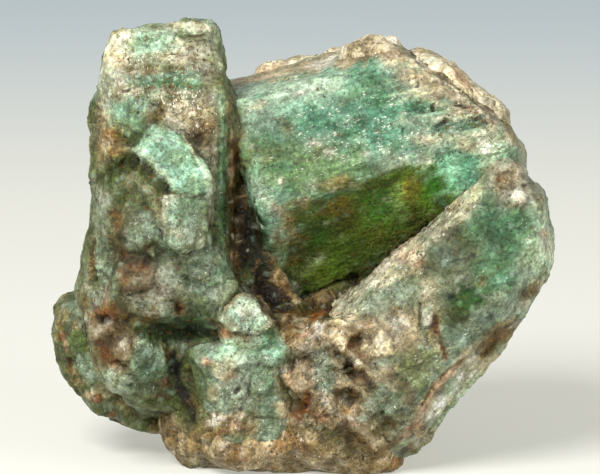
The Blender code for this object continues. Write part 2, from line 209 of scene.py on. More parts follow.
class Surface:
    """One piece of the specimen, kept as arrays while its relief and colour are worked."""

    def __init__(self, node, name, grain=CRYSTAL_GRAIN):
        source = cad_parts[node]
        shell = bpy.data.objects.new(name + "_shell", merged(source.data))
        bpy.context.scene.collection.objects.link(shell)
        remesh = shell.modifiers.new("grain", "REMESH")
        remesh.mode = "VOXEL"
        remesh.voxel_size = grain * MM
        depsgraph = bpy.context.evaluated_depsgraph_get()
        self.mesh = bpy.data.meshes.new_from_object(shell.evaluated_get(depsgraph))
        self.mesh.name = name
        bpy.data.objects.remove(shell)
        self.node = node
        self.name = name
        count = len(self.mesh.vertices)
        self.co = read(self.mesh.vertices, "co", count, 3) / MM
        edges = len(self.mesh.edges)
        self.edges = read(self.mesh.edges, "vertices", edges, 2, np.int32)
        self.degree = np.bincount(self.edges.ravel(), minlength=count)
        self.relax(2)
        self.first = self.co.copy()
        self.wobble = np.stack([layered(self.first, WOBBLE_SIZE, seed, 4, 0.6) for seed in WOBBLE_SEEDS], 1)
        self.fray = layered(self.first, FRAY_SIZE, FRAY_SEED, 3, 0.7)
        self.tone = np.tile(srgb(STONE_GREY), (count, 1))
        self.channel = {key: np.zeros(count) for key in ("grit", "sugar_glints", "gloss")}

    def neighbours(self, values):
        """The mean of each point's neighbours."""
        ends = self.edges[:, ::-1].ravel()
        starts = self.edges.ravel()
        columns = [np.bincount(starts, values[ends, k], len(values)) for k in range(values.shape[1])]
        return np.stack(columns, 1) / self.degree[:, None]

    def relax(self, times, strength=0.5):
        """Smooths the surface a little."""
        for _ in range(times):
            self.co = self.co + strength * (self.neighbours(self.co) - self.co)
        self.refresh()

    def refresh(self):
        """Works out the normals and the view from the front again."""
        self.mesh.vertices.foreach_set("co", (self.co * MM).astype(np.float32).ravel())
        self.mesh.update()
        count = len(self.mesh.vertices)
        self.normal = read(self.mesh.vertex_normals, "vector", count, 3)
        self.across = self.co[:, 0]
        self.up = self.co[:, 2] * math.cos(TILT) + self.co[:, 1] * math.sin(TILT)
        self.facing = ramp(self.normal @ np.array(TOWARD_CAMERA), *FACING)

    def push(self, amount):
        """Moves the surface out along its normals, or in where amount is negative."""
        self.co = self.co + self.normal * np.asarray(amount).reshape(-1, 1)
        self.refresh()

    def hollow(self, times):
        """How far each point lies under (positive) or above the surface smoothed that many times."""
        smooth = self.co
        for _ in range(times):
            smooth = self.neighbours(smooth)
        return ((smooth - self.co) * self.normal).sum(1)

    def seen(self, ragged):
        """Each point's place as seen from the front, made uneven by `ragged` mm."""
        return np.stack([self.across, self.up], 1) + ragged * self.wobble

    def frayed(self, share, amount=0.55):
        """The share with its soft edge broken into small patches."""
        edge = (share > 1 - SOLID) & (share < SOLID)
        return ramp(share + amount * self.fray * edge, 0.2, 0.8)

    def oval(self, across, up, wide, high, turn=0.0, soft=0.5, ragged=0.22):
        """A share from 0 to 1: an uneven oval on the front, with its half width and half height in mm."""
        a, u = (self.seen(ragged) - (across, up)).T
        c, s = math.cos(math.radians(turn)), math.sin(math.radians(turn))
        far = np.hypot((a * c + u * s) / wide, (u * c - a * s) / high)
        return ramp(far, 1 + soft, 1 - soft) * self.facing

    def away_from(self, at, points):
        """How far each seen place is from a run of straight lines."""
        best = np.full(len(at), 99.0)
        for start, end in zip(points, points[1:]):
            start, way = np.array(start), np.array(end) - np.array(start)
            t = np.clip((at - start) @ way / (way @ way), 0, 1)
            best = np.minimum(best, np.linalg.norm(at - start - t[:, None] * way, axis=1))
        return best

    def run(self, points, width, soft=0.5, ragged=0.1):
        """A share from 0 to 1: a line on the front through the points, `width` mm to each side."""
        return ramp(self.away_from(self.seen(ragged), points) / width, 1 + soft, 1 - soft) * self.facing

    def inside(self, points, edge=0.12, ragged=0.12):
        """A share from 0 to 1: the area within the points, with an edge that many mm wide."""
        at = self.seen(ragged)
        crossings = np.zeros(len(at), int)
        for (a0, u0), (a1, u1) in zip(points, points[1:] + points[:1]):
            if u0 == u1:
                continue
            spans = (at[:, 1] > min(u0, u1)) & (at[:, 1] <= max(u0, u1))
            crossings += spans & (at[:, 0] < a0 + (at[:, 1] - u0) / (u1 - u0) * (a1 - a0))
        far = self.away_from(at, points + points[:1])
        return ramp(np.where(crossings % 2 == 1, far, -far), -edge, edge) * self.facing

    def tint(self, share, colour, strength=1.0):
        """Paints the share of the surface with the colour."""
        share = np.clip(share * strength, 0, 1)[:, None]
        self.tone = self.tone * (1 - share) + srgb(colour) * share

    def shade(self, factor):
        """Makes the colour darker or lighter by the factor at each point."""
        self.tone = np.clip(self.tone * np.asarray(factor).reshape(-1, 1), 0, 1)

    def soften(self, times, share):
        """Lets the colours run into each other."""
        blurred = self.tone
        for _ in range(times):
            blurred = self.neighbours(blurred)
        self.tone = self.tone + share * (blurred - self.tone)

    def give(self, key, share, value=1.0):
        """Sets a channel that the material reads."""
        self.channel[key] = self.channel[key] * (1 - share) + value * share

    def finish(self, material, body="root"):
        """Writes the mesh and makes the piece that stands for the node."""
        self.co[:, 2] = np.maximum(self.co[:, 2], 0)
        self.refresh()
        count = len(self.mesh.vertices)
        tone = self.mesh.attributes.new("tone", "FLOAT_COLOR", "POINT")
        colour = np.concatenate([np.clip(DEPTH * self.tone**CONTRAST, 0, 1), np.ones((count, 1))], 1)
        tone.data.foreach_set("color", colour.astype(np.float32).ravel())
        for key, values in self.channel.items():
            attribute = self.mesh.attributes.new(key, "FLOAT", "POINT")
            attribute.data.foreach_set("value", np.clip(values, 0, 1).astype(np.float32))
        self.mesh.polygons.foreach_set("use_smooth", np.ones(len(self.mesh.polygons), bool))
        self.mesh.materials.clear()
        self.mesh.materials.append(material)
        piece = bpy.data.objects.new(self.name, self.mesh)
        bpy.context.scene.collection.objects.link(piece)
        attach(piece, body)
        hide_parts(self.node)
        return piece


def merged(mesh):
    """A copy of a CAD mesh whose triangles are joined at their corners."""
    bm = bmesh.new()
    bm.from_mesh(mesh)
    bmesh.ops.remove_doubles(bm, verts=bm.verts, dist=WELD * MM)
    copy = bpy.data.meshes.new(mesh.name + "_copy")
    bm.to_mesh(copy)
    bm.free()
    return copy


def read(items, key, count, width, kind=np.float32):
    """A property of every item as an array."""
    values = np.zeros(count * width, kind)
    items.foreach_get(key, values)
    return values.reshape(count, width).astype(np.int64 if kind is np.int32 else float)


def tree_of(nodes):
    """A search tree over several CAD nodes, in millimetres."""
    points, faces = [], []
    for node in nodes:
        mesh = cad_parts[node].data
        base = len(points)
        points += [v.co / MM for v in mesh.vertices]
        faces += [[base + i for i in p.vertices] for p in mesh.polygons]
    return BVHTree.FromPolygons(points, faces)


def nearest_on(surface, nodes, limit=1.6):
    """For each point, how far the nearest of the nodes is, up to the limit, and the way to it."""
    tree = tree_of(nodes)
    found = [tree.find_nearest(Vector(p), limit) for p in surface.co]
    gap = np.array([limit if d is None else d for _, _, _, d in found])
    way = np.array([(0, 0, 0) if q is None else q for q, _, _, _ in found]) - surface.co
    return gap, np.where((gap < limit)[:, None], way / np.maximum(gap, 1e-6)[:, None], 0)


# ---------------------------------------------------------------- materials


def link(tree, start, end):
    tree.links.new(start, end)


def node(tree, kind, **values):
    """A shader node with its settings and its sockets' values."""
    made = tree.nodes.new(kind)
    for key, value in values.items():
        if key in made.bl_rna.properties:
            setattr(made, key, value)
        else:
            made.inputs[key.replace("_", " ")].default_value = value
    return made


def math_node(tree, operation, first, second=None, clamp=False):
    """A Math node; first and second are sockets or numbers."""
    made = tree.nodes.new("ShaderNodeMath")
    made.operation = operation
    made.use_clamp = clamp
    for i, value in enumerate((first, second)):
        if value is None:
            continue
        if isinstance(value, (int, float)):
            made.inputs[i].default_value = value
        else:
            link(tree, value, made.inputs[i])
    return made.outputs[0]


def mix_colour(tree, share, first, second, blend="MIX"):
    """A Mix node for colours; each of the three is a socket or a plain value."""
    made = tree.nodes.new("ShaderNodeMix")
    made.data_type = "RGBA"
    made.blend_type = blend
    for socket, value in zip((made.inputs[0], made.inputs[6], made.inputs[7]), (share, first, second)):
        if isinstance(value, bpy.types.NodeSocket):
            link(tree, value, socket)
        else:
            socket.default_value = value
    return made.outputs[2]


def map_range(tree, value, low, high, to_low=0.0, to_high=1.0):
    """A smooth Map Range from a socket."""
    made = tree.nodes.new("ShaderNodeMapRange")
    made.interpolation_type = "SMOOTHSTEP"
    for key, number in (("From Min", low), ("From Max", high), ("To Min", to_low), ("To Max", to_high)):
        made.inputs[key].default_value = number
    link(tree, value, made.inputs["Value"])
    return made.outputs[0]


BLOTCH_SIZE = 1.3  # mm
BLOTCHY = 0.25  # how much blotches and the finest grain lighten and darken the stone
FINEST = 0.45  # the finest grain's size and the fine grain's
FINEST_SPECKLE = 0.15
WARP_SIZE = 0.7  # mm: the size of the noise that bends the mosaic, and how far it bends it
MOSAIC_SIZE = 0.8  # mm between the veins
VEIN_EDGE = (0.42, 0.72)  # how far from the middle of its grain a vein starts and is full
HEART_EDGE = (0.34, 0.08)
HEART_STRENGTH = 0.8
CLUSTERING = 0.35  # how much the flecks gather in clusters
DRAWN_OUT = 0.45  # the painted glint flecks are longer along the crystal
SPARKLE = 0.8  # how much more than the stone a painted glint fleck shines
DULL_SHINE = 0.2
ROUGH_SPREAD = 0.15
GLOSS_SMOOTHS = 0.3
FLECK_SMOOTHS = 0.2
LIGHT_GOES_IN = 0.25  # mm
BERYL_IOR = 1.57


def stone(name, along, look):
    """The finish of one kind of stone: tinted by the surface, grained, veined and streaked along it."""
    material = bpy.data.materials.new(name + "_finish")
    material["slot"] = name
    material.use_nodes = True
    tree = material.node_tree
    shader = tree.nodes["Principled BSDF"]
    place = node(tree, "ShaderNodeTexCoord").outputs["Object"]
    tone = node(tree, "ShaderNodeAttribute", attribute_name="tone").outputs["Color"]
    channels = (node(tree, "ShaderNodeAttribute", attribute_name=key) for key in ("grit", "sugar_glints", "gloss"))
    grit, sugar_glints, gloss = (channel.outputs["Fac"] for channel in channels)

    def times(first, second):
        return math_node(tree, "MULTIPLY", first, second)

    def plus(first, second):
        return math_node(tree, "ADD", first, second)

    def stretched(where, scale):
        """The pattern's own space, drawn out along the crystal."""
        made = node(tree, "ShaderNodeMapping", Scale=(1, 1, scale))
        link(tree, where, made.inputs["Vector"])
        return made.outputs[0]

    def noise(where, size, detail, rough=0.6, layer=0.0):
        made = node(tree, "ShaderNodeTexNoise", noise_dimensions="4D", Scale=1 / (size * MM),
                    Detail=detail, Roughness=rough, W=layer)
        link(tree, where, made.inputs["Vector"])
        return made.outputs["Fac"]

    def cells(where, size):
        made = node(tree, "ShaderNodeTexVoronoi", Scale=1 / (size * MM), Randomness=1.0)
        link(tree, where, made.inputs["Vector"])
        return made.outputs

    def around(value, middle, spread, low=0.3, high=0.7):
        """A value between low and high, brought to within the spread of the middle."""
        return map_range(tree, value, low, high, middle - spread, middle + spread)

    def flecks(where, size, rough, layer, more, clusters, low, strength, high=0.92):
        """A share where fine noise is high, and more of it where `more` and the clusters are high."""
        value = plus(plus(noise(where, size, 2.0, rough, layer), more), clusters)
        return times(map_range(tree, value, low, high), strength)

    turned = node(tree, "ShaderNodeMapping", Rotation=along)
    link(tree, place, turned.inputs["Vector"])
    lengthwise = turned.outputs[0]
    streaks = noise(stretched(lengthwise, look["stretch"]), look["streak"], detail=4.0)
    blotches = noise(place, BLOTCH_SIZE, detail=5.0, rough=0.65, layer=1.0)
    fine = noise(place, look["fine"], detail=3.0, rough=0.7, layer=2.0)
    finest = noise(place, look["fine"] * FINEST, detail=2.0, rough=0.6, layer=3.0)
    grain = cells(place, look["grain"])
    chosen = node(tree, "ShaderNodeSeparateColor")
    link(tree, grain["Color"], chosen.inputs[0])

    bright = around(streaks, 1, look["streaky"])
    bright = times(bright, around(blotches, 1, BLOTCHY))
    bright = times(bright, around(fine, 1, look["speckle"]))
    bright = times(bright, around(finest, 1, FINEST_SPECKLE))
    bright = times(bright, around(chosen.outputs[0], 1, look["grainy"], low=0.0, high=1.0))
    colour = mix_colour(tree, 1.0, tone, bright, "MULTIPLY")

    warp = node(tree, "ShaderNodeTexNoise", Scale=1 / (WARP_SIZE * MM), Detail=4.0, Roughness=0.65)
    link(tree, place, warp.inputs["Vector"])
    bend = mix_colour(tree, 1.0, warp.outputs["Color"], (WARP_SIZE * MM,) * 3 + (1,), "MULTIPLY")
    mosaic = cells(mix_colour(tree, 1.0, place, bend, "ADD"), MOSAIC_SIZE)["Distance"]
    veins = times(map_range(tree, mosaic, *VEIN_EDGE), look["mosaic"])
    hearts = times(map_range(tree, mosaic, *HEART_EDGE), look["mosaic"] * HEART_STRENGTH)
    colour = mix_colour(tree, veins, colour, mix_colour(tree, 1.0, colour, look["vein"], "MULTIPLY"))
    colour = mix_colour(tree, hearts, colour, mix_colour(tree, 0.5, colour, (*srgb(MINT), 1), "SCREEN"))

    clusters = times(noise(place, 0.9, detail=2.0, rough=0.5, layer=4.0), CLUSTERING)
    rusty = flecks(place, 0.24, 0.6, 5.0, times(grit, 0.16), clusters, low=0.82, strength=0.75)
    colour = mix_colour(tree, rusty, colour, (*srgb(BROWN), 1))
    dark = flecks(place, 0.17, 0.6, 6.0, times(grit, 0.13), clusters, low=0.84, strength=0.8)
    colour = mix_colour(tree, dark, colour, (*srgb(SOOT_AND_SHADE), 1))
    # Pale flecks gather where the surface is sugary and its tone is pale: painted glints in the colour,
    # which also shine more and are smoother.
    clusters = times(noise(place, 0.7, detail=3.0, rough=0.6, layer=7.0), CLUSTERING)
    sugary = times(sugar_glints, 0.15)
    drawn_out = stretched(lengthwise, DRAWN_OUT)
    glint_flecks = flecks(drawn_out, 0.1, 0.65, 8.0, sugary, clusters, low=0.83, strength=0.85, high=0.93)
    paleness = node(tree, "ShaderNodeRGBToBW")
    link(tree, tone, paleness.inputs[0])
    glint_flecks = times(glint_flecks, map_range(tree, paleness.outputs[0], 0.02, 0.25))
    colour = mix_colour(tree, glint_flecks, colour, (*srgb(IVORY), 1))
    link(tree, colour, shader.inputs["Base Color"])
    link(tree, plus(times(glint_flecks, SPARKLE), DULL_SHINE), shader.inputs["Specular IOR Level"])

    rough = around(fine, look["rough"], ROUGH_SPREAD)
    rough = math_node(tree, "SUBTRACT", rough, times(gloss, GLOSS_SMOOTHS), clamp=True)
    rough = math_node(tree, "SUBTRACT", rough, times(glint_flecks, FLECK_SMOOTHS), clamp=True)
    link(tree, rough, shader.inputs["Roughness"])

    height = times(grain["Distance"], -look["lumpy"])
    for value, amount in (
        (fine, look["crumbly"]),
        (finest, look["crumbly"] * 0.4),
        (streaks, look["ribbed"]),
        (mosaic, look["mosaic"] * -1.2),
    ):
        height = plus(height, times(value, amount))
    bump = node(tree, "ShaderNodeBump", Strength=1.0, Distance=look["relief"] * MM)
    link(tree, height, bump.inputs["Height"])
    link(tree, bump.outputs[0], shader.inputs["Normal"])

    shader.inputs["Subsurface Weight"].default_value = look["glow"]
    shader.inputs["Subsurface Radius"].default_value = look["glow_colour"]
    shader.inputs["Subsurface Scale"].default_value = LIGHT_GOES_IN * MM
    shader.inputs["IOR"].default_value = BERYL_IOR
    return material


GREEN_GLOW = (0.5, 1.0, 0.6)
WARM_GLOW = (1.0, 0.8, 0.5)
# Sizes and the relief are in mm; the rest are strengths from 0 to about 1.
PLAIN = {
    "stretch": 0.08, "streak": 0.22, "streaky": 0.12, "grain": 0.26, "grainy": 0.22, "fine": 0.2,
    "speckle": 0.36, "rough": 0.38, "lumpy": 0.4, "crumbly": 0.9, "ribbed": 0.5, "relief": 0.16,
    "glow": 0.45, "glow_colour": GREEN_GLOW, "mosaic": 0.5, "vein": (0.42, 0.40, 0.22, 1),
}


def rotation_to(axis):
    """The turn that brings a crystal's axis onto Z, for a pattern that follows the crystal."""
    return Vector(axis).rotation_difference(Vector((0, 0, 1))).to_euler()


UPRIGHT_AXIS = (0.045, 0, 1)
MAIN_AXIS = (0.962, 0.087, 0.258)
LEANING_AXIS = (0.707, 0.05, 0.705)


def matrix_material():
    """Granular rock: crumbs of quartz and feldspar with rusty grit between them."""
    look = {
        **PLAIN, "stretch": 0.6, "streaky": 0.08, "grain": 0.34, "grainy": 0.24, "lumpy": 0.6,
        "crumbly": 1.1, "ribbed": 0.1, "glow": 0.25, "glow_colour": WARM_GLOW,
    }
    return stone("granular_rock", (0, 0, 0), look)


def emerald_material():
    """The main crystal: teal to deep green beryl with a sugary, streaked face."""
    green_vein = (0.45, 0.6, 0.4, 1)
    look = {**PLAIN, "streaky": 0.16, "ribbed": 0.8, "glow": 0.5, "mosaic": 0.3, "vein": green_vein}
    return stone("emerald", rotation_to(MAIN_AXIS), look)


def mottled_material():
    """The upright crystal: pale beryl mottled with rust and moss green."""
    look = {**PLAIN, "streaky": 0.1, "glow": 0.4, "mosaic": 0.6}
    return stone("mottled_beryl", rotation_to(UPRIGHT_AXIS), look)


def milky_material():
    """The leaning crystal: milky green beryl."""
    look = {**PLAIN, "streaky": 0.14, "glow": 0.5}
    return stone("milky_beryl", rotation_to(LEANING_AXIS), look)


def pale_material():
    """The broken stub: pale, waxy beryl."""
    look = {**PLAIN, "streaky": 0.08, "glow": 0.5, "ribbed": 0.2}
    return stone("pale_beryl", (0, 0, 0), look)


# ---------------------------------------------------------------- relief and tint by hand

RELIEF_FRAY = 0.35  # how far the edges of dents and grooves are broken up
DAB_FRAY = 0.4
FIELD_FRAY = 0.6


def dents(s, rows):
    """How far the ovals raise or sink the front: (mm, across, up, half width, half height[, turn])."""
    return sum(depth * s.frayed(s.oval(*oval), RELIEF_FRAY) for depth, *oval in rows)


def grooves(s, rows):
    """How far the lines raise or sink the front: (mm, half width, points)."""
    return sum(depth * s.frayed(s.run(points, width, 0.7), RELIEF_FRAY) for depth, width, points in rows)


def steps(s, rows):
    """How far the outlined areas stand out or lie back: (mm, width of the edge, points)."""
    return sum(depth * s.inside(points, edge, ragged=0.2) for depth, edge, points in rows)


def dabs(s, rows):
    """Paints ovals: (colour, strength, across, up, half width, half height[, turn])."""
    for colour, strength, *oval in rows:
        ragged = 0.1 + 0.35 * min(oval[2:4])
        share = s.oval(*oval, soft=0.85, ragged=ragged)
        s.tint(s.frayed(share, DAB_FRAY), colour, strength)


def strokes(s, rows):
    """Paints lines: (colour, strength, half width, points)."""
    for colour, strength, width, points in rows:
        s.tint(s.frayed(s.run(points, width, soft=0.8)), colour, strength)


def fields(s, rows):
    """Paints outlined areas: (colour, strength, width of the edge, points)."""
    for colour, strength, edge, points in rows:
        s.tint(s.frayed(s.inside(points, 1.5 * edge, ragged=0.35), FIELD_FRAY), colour, strength)
    s.soften(times=6, share=0.5)


def mottles(s, rows, share=1.0):
    """Paints cloudy patches: (colour, strength, size, seed, noise where they start and are full)."""
    for colour, strength, size, seed, low, high in rows:
        s.tint(share * ramp(layered(s.first, size, seed), low, high), colour, strength)


def areas(s, rows):
    """Paints areas with a broken edge: (colour, strength, edge width, raggedness, points[, fray])."""
    for colour, strength, edge, ragged, points, *fray in rows:
        s.tint(s.frayed(s.inside(points, edge, ragged), *fray), colour, strength)


def shades(s, rows):
    """Makes ovals darker or lighter: (factor, across, up, half width, half height[, turn])."""
    for factor, *oval in rows:
        s.shade(1 + (factor - 1) * s.oval(*oval, soft=0.7, ragged=0.4))


SWELL_HEIGHT = 0.08
# The big, the middling and the small chips: (height, size, seed).
CHIP_LAYERS = ((0.26, 2.1, 91), (0.18, 1.0, 93), (0.12, 0.5, 95))
CRUMB_HEIGHT = 0.07
CRUMB_LEVEL = 0.45  # how far from a crumb's middle its top has sunk to the face
RIB_HEIGHT = 0.05
RIB_DRAWN_OUT = 0.93


def weathered(s, axis=None, rough=1.0):
    """The relief that every face has: swells, chips, crumbs and, on a crystal, ribs along its axis."""
    swell = SWELL_HEIGHT * layered(s.first, size=2.4, seed=3)
    patchy = ramp(layered(s.first, size=2.6, seed=17), -0.4, 0.5)
    big, middling, small = (height * chips(s.first, size, seed) for height, size, seed in CHIP_LAYERS)
    broken = big + middling * patchy + small
    crumb = CRUMB_HEIGHT * (CRUMB_LEVEL - grains(s.first, size=0.36, seed=8)[0])
    total = rough * (swell + broken + crumb)
    if axis is not None:
        flat = squeezed(s.first, np.array(axis) / np.linalg.norm(axis), RIB_DRAWN_OUT)
        total = total + RIB_HEIGHT * layered(flat, size=0.45, seed=13, layers=2)
    return total


def crumbs(s, share, light, dark, size=0.27, seed=70):
    """Small grains, some of them pale and some dark, where the share is high."""
    away, number = grains(s.first, size, seed)
    solid = ramp(away, 0.8, 0.45) * share
    s.tint(solid * ramp(number, 0.72, 0.86), light, strength=0.65)
    s.tint(solid * ramp(number, 0.30, 0.16), dark, strength=0.6)


SMALL_HOLLOWS = 4.0  # how fast the painted shade darkens with the depth of small hollows, in mm
WIDE_HOLLOWS = 0.8
# the darkest painted shade in a hollow and the palest painted highlight on a ridge
DARKEST, PALEST = 0.5, 1.3


def shade_the_hollows(s):
    """The colours run into each other; painted shade darkens the hollows, and the ridges are painted paler
    as if lit.
    """
    s.soften(times=2, share=0.3)
    hollow_shade = SMALL_HOLLOWS * s.hollow(times=3)
    wide_hollow_shade = WIDE_HOLLOWS * s.hollow(times=30)
    s.shade(np.clip(1 - hollow_shade - wide_hollow_shade, DARKEST, PALEST))


def finished(s, material, sugar_glints, grit):
    """Painted shade in the hollows and painted highlight on the ridges, the shares of painted glints and of
    rusty grains, and then the piece itself.
    """
    shade_the_hollows(s)
    s.give("sugar_glints", 1.0, sugar_glints)
    s.give("grit", 1.0, grit)
    return s.finish(material)


def close_up(s, reach=0.22, swell=0.12):
    """Pieces that touch grow together: each creeps to its neighbours and swells a little beside them."""
    s.gap, way = nearest_on(s, [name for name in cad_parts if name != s.node])
    s.co = s.co + way * (np.minimum(s.gap, reach) * ramp(s.gap, 0.8, 0.4))[:, None]
    s.co = s.co + s.normal * (swell * ramp(s.gap, 1.5, 0.5))[:, None]
    s.refresh()


def contact_rust_and_shade(s):
    """Brown rust and near-black painted shade gather where a piece meets its neighbours."""
    s.tint(ramp(s.gap + 0.3 * s.fray, 0.8, 0.3), BROWN, strength=0.45)
    # near-black painted shade in the seams between pieces
    s.tint(ramp(s.gap + 0.2 * s.fray, 0.45, 0.2), SOOT_AND_SHADE, strength=0.5)


# ---------------------------------------------------------------- what runs over several pieces

CREVICE = [(-8.1, 6.4), (-7.3, 6.4), (-7.3, 5.2), (-6.8, 4.2), (-6.3, 2.6), (-6.1, 1.9), (-7.0, 2.2),
           (-8.4, 2.9), (-9.2, 3.3), (-8.0, 4.0), (-8.0, 5.2)]
CREVICE_CORE = [(-8.0, 6.3), (-7.5, 6.3), (-7.3, 5.3), (-6.9, 4.4), (-6.4, 3.1), (-6.2, 2.1), (-6.6, 2.1),
                (-7.1, 3.2), (-7.6, 4.3), (-8.0, 5.0)]
UNDERCUT = [(-9.8, 7.4), (-8.4, 7.7), (-7.0, 7.9), (-5.4, 7.9), (-4.9, 7.5), (-5.9, 6.9), (-7.4, 6.5),
            (-8.8, 6.9)]
CLEFT = [(-3.8, 15.5), (-3.0, 15.0), (-2.4, 13.8), (-2.2, 12.2), (-1.8, 10.6), (-1.4, 9.2), (-0.5, 8.6),
         (-1.4, 8.0), (-2.1, 9.0), (-3.3, 9.7), (-3.9, 10.8), (-3.9, 13.0)]
SEAM = [(-4.1, 18.6), (-4.15, 16.5), (-4.0, 14.0), (-4.05, 12.0), (-3.7, 10.6)]
SLOT = [(1.9, 6.0), (2.5, 5.5), (2.9, 4.9), (3.5, 4.9), (3.9, 4.4)]


def front_relief(s):
    """Relief that runs over several pieces at the front."""
    return steps(s, [
        (-0.15, 0.3, CREVICE), (-0.1, 0.4, UNDERCUT), (-0.3, 0.2, CLEFT),
        (0.22, 0.12, [(1.4, 6.9), (2.2, 7.4), (2.5, 6.9), (2.3, 6.0)]),
        (0.25, 0.15, [(4.0, 6.7), (4.5, 7.2), (5.0, 6.9), (5.1, 6.1), (4.5, 5.9)]),
        (0.2, 0.1, [(2.6, 6.0), (3.2, 6.1), (3.8, 5.3), (3.3, 5.2)]),
        (0.15, 0.15, [(-0.9, 5.3), (0.4, 5.5), (0.9, 4.4), (0.0, 3.7), (-0.8, 4.2)]),
        (0.15, 0.15, [(0.4, 3.9), (1.3, 3.9), (2.1, 3.0), (1.2, 2.6)]),
        (0.15, 0.2, [(4.0, 4.4), (5.4, 4.3), (6.2, 3.0), (4.4, 2.8)]),
        (0.2, 0.2, [(-5.8, 5.9), (-4.6, 6.8), (-2.6, 6.6), (-2.6, 5.6), (-4.4, 5.0)]),
    ]) + grooves(s, [
        (-0.2, 0.25, SLOT), (-0.2, 0.15, [(-1.3, 5.2), (-1.0, 4.2), (-0.4, 3.4)]),
        (-0.12, 0.3, [(2.2, 1.9), (2.8, 1.2), (3.7, 0.9)]), (-0.2, 0.1, [(6.75, 9.0), (6.8, 7.6)]),
    ]) + dents(s, [
        (-0.3, 3.1, 6.8, 0.5, 0.35, 10), (-0.3, 2.8, 3.6, 0.8, 0.4, -20), (0.2, 0.85, 7.6, 0.35, 0.4, 20),
        (-0.15, 0.1, 2.8, 0.5, 0.25, -20), (0.15, -1.3, 2.7, 0.5, 0.4), (-0.15, 5.6, 4.7, 0.5, 0.3),
    ])


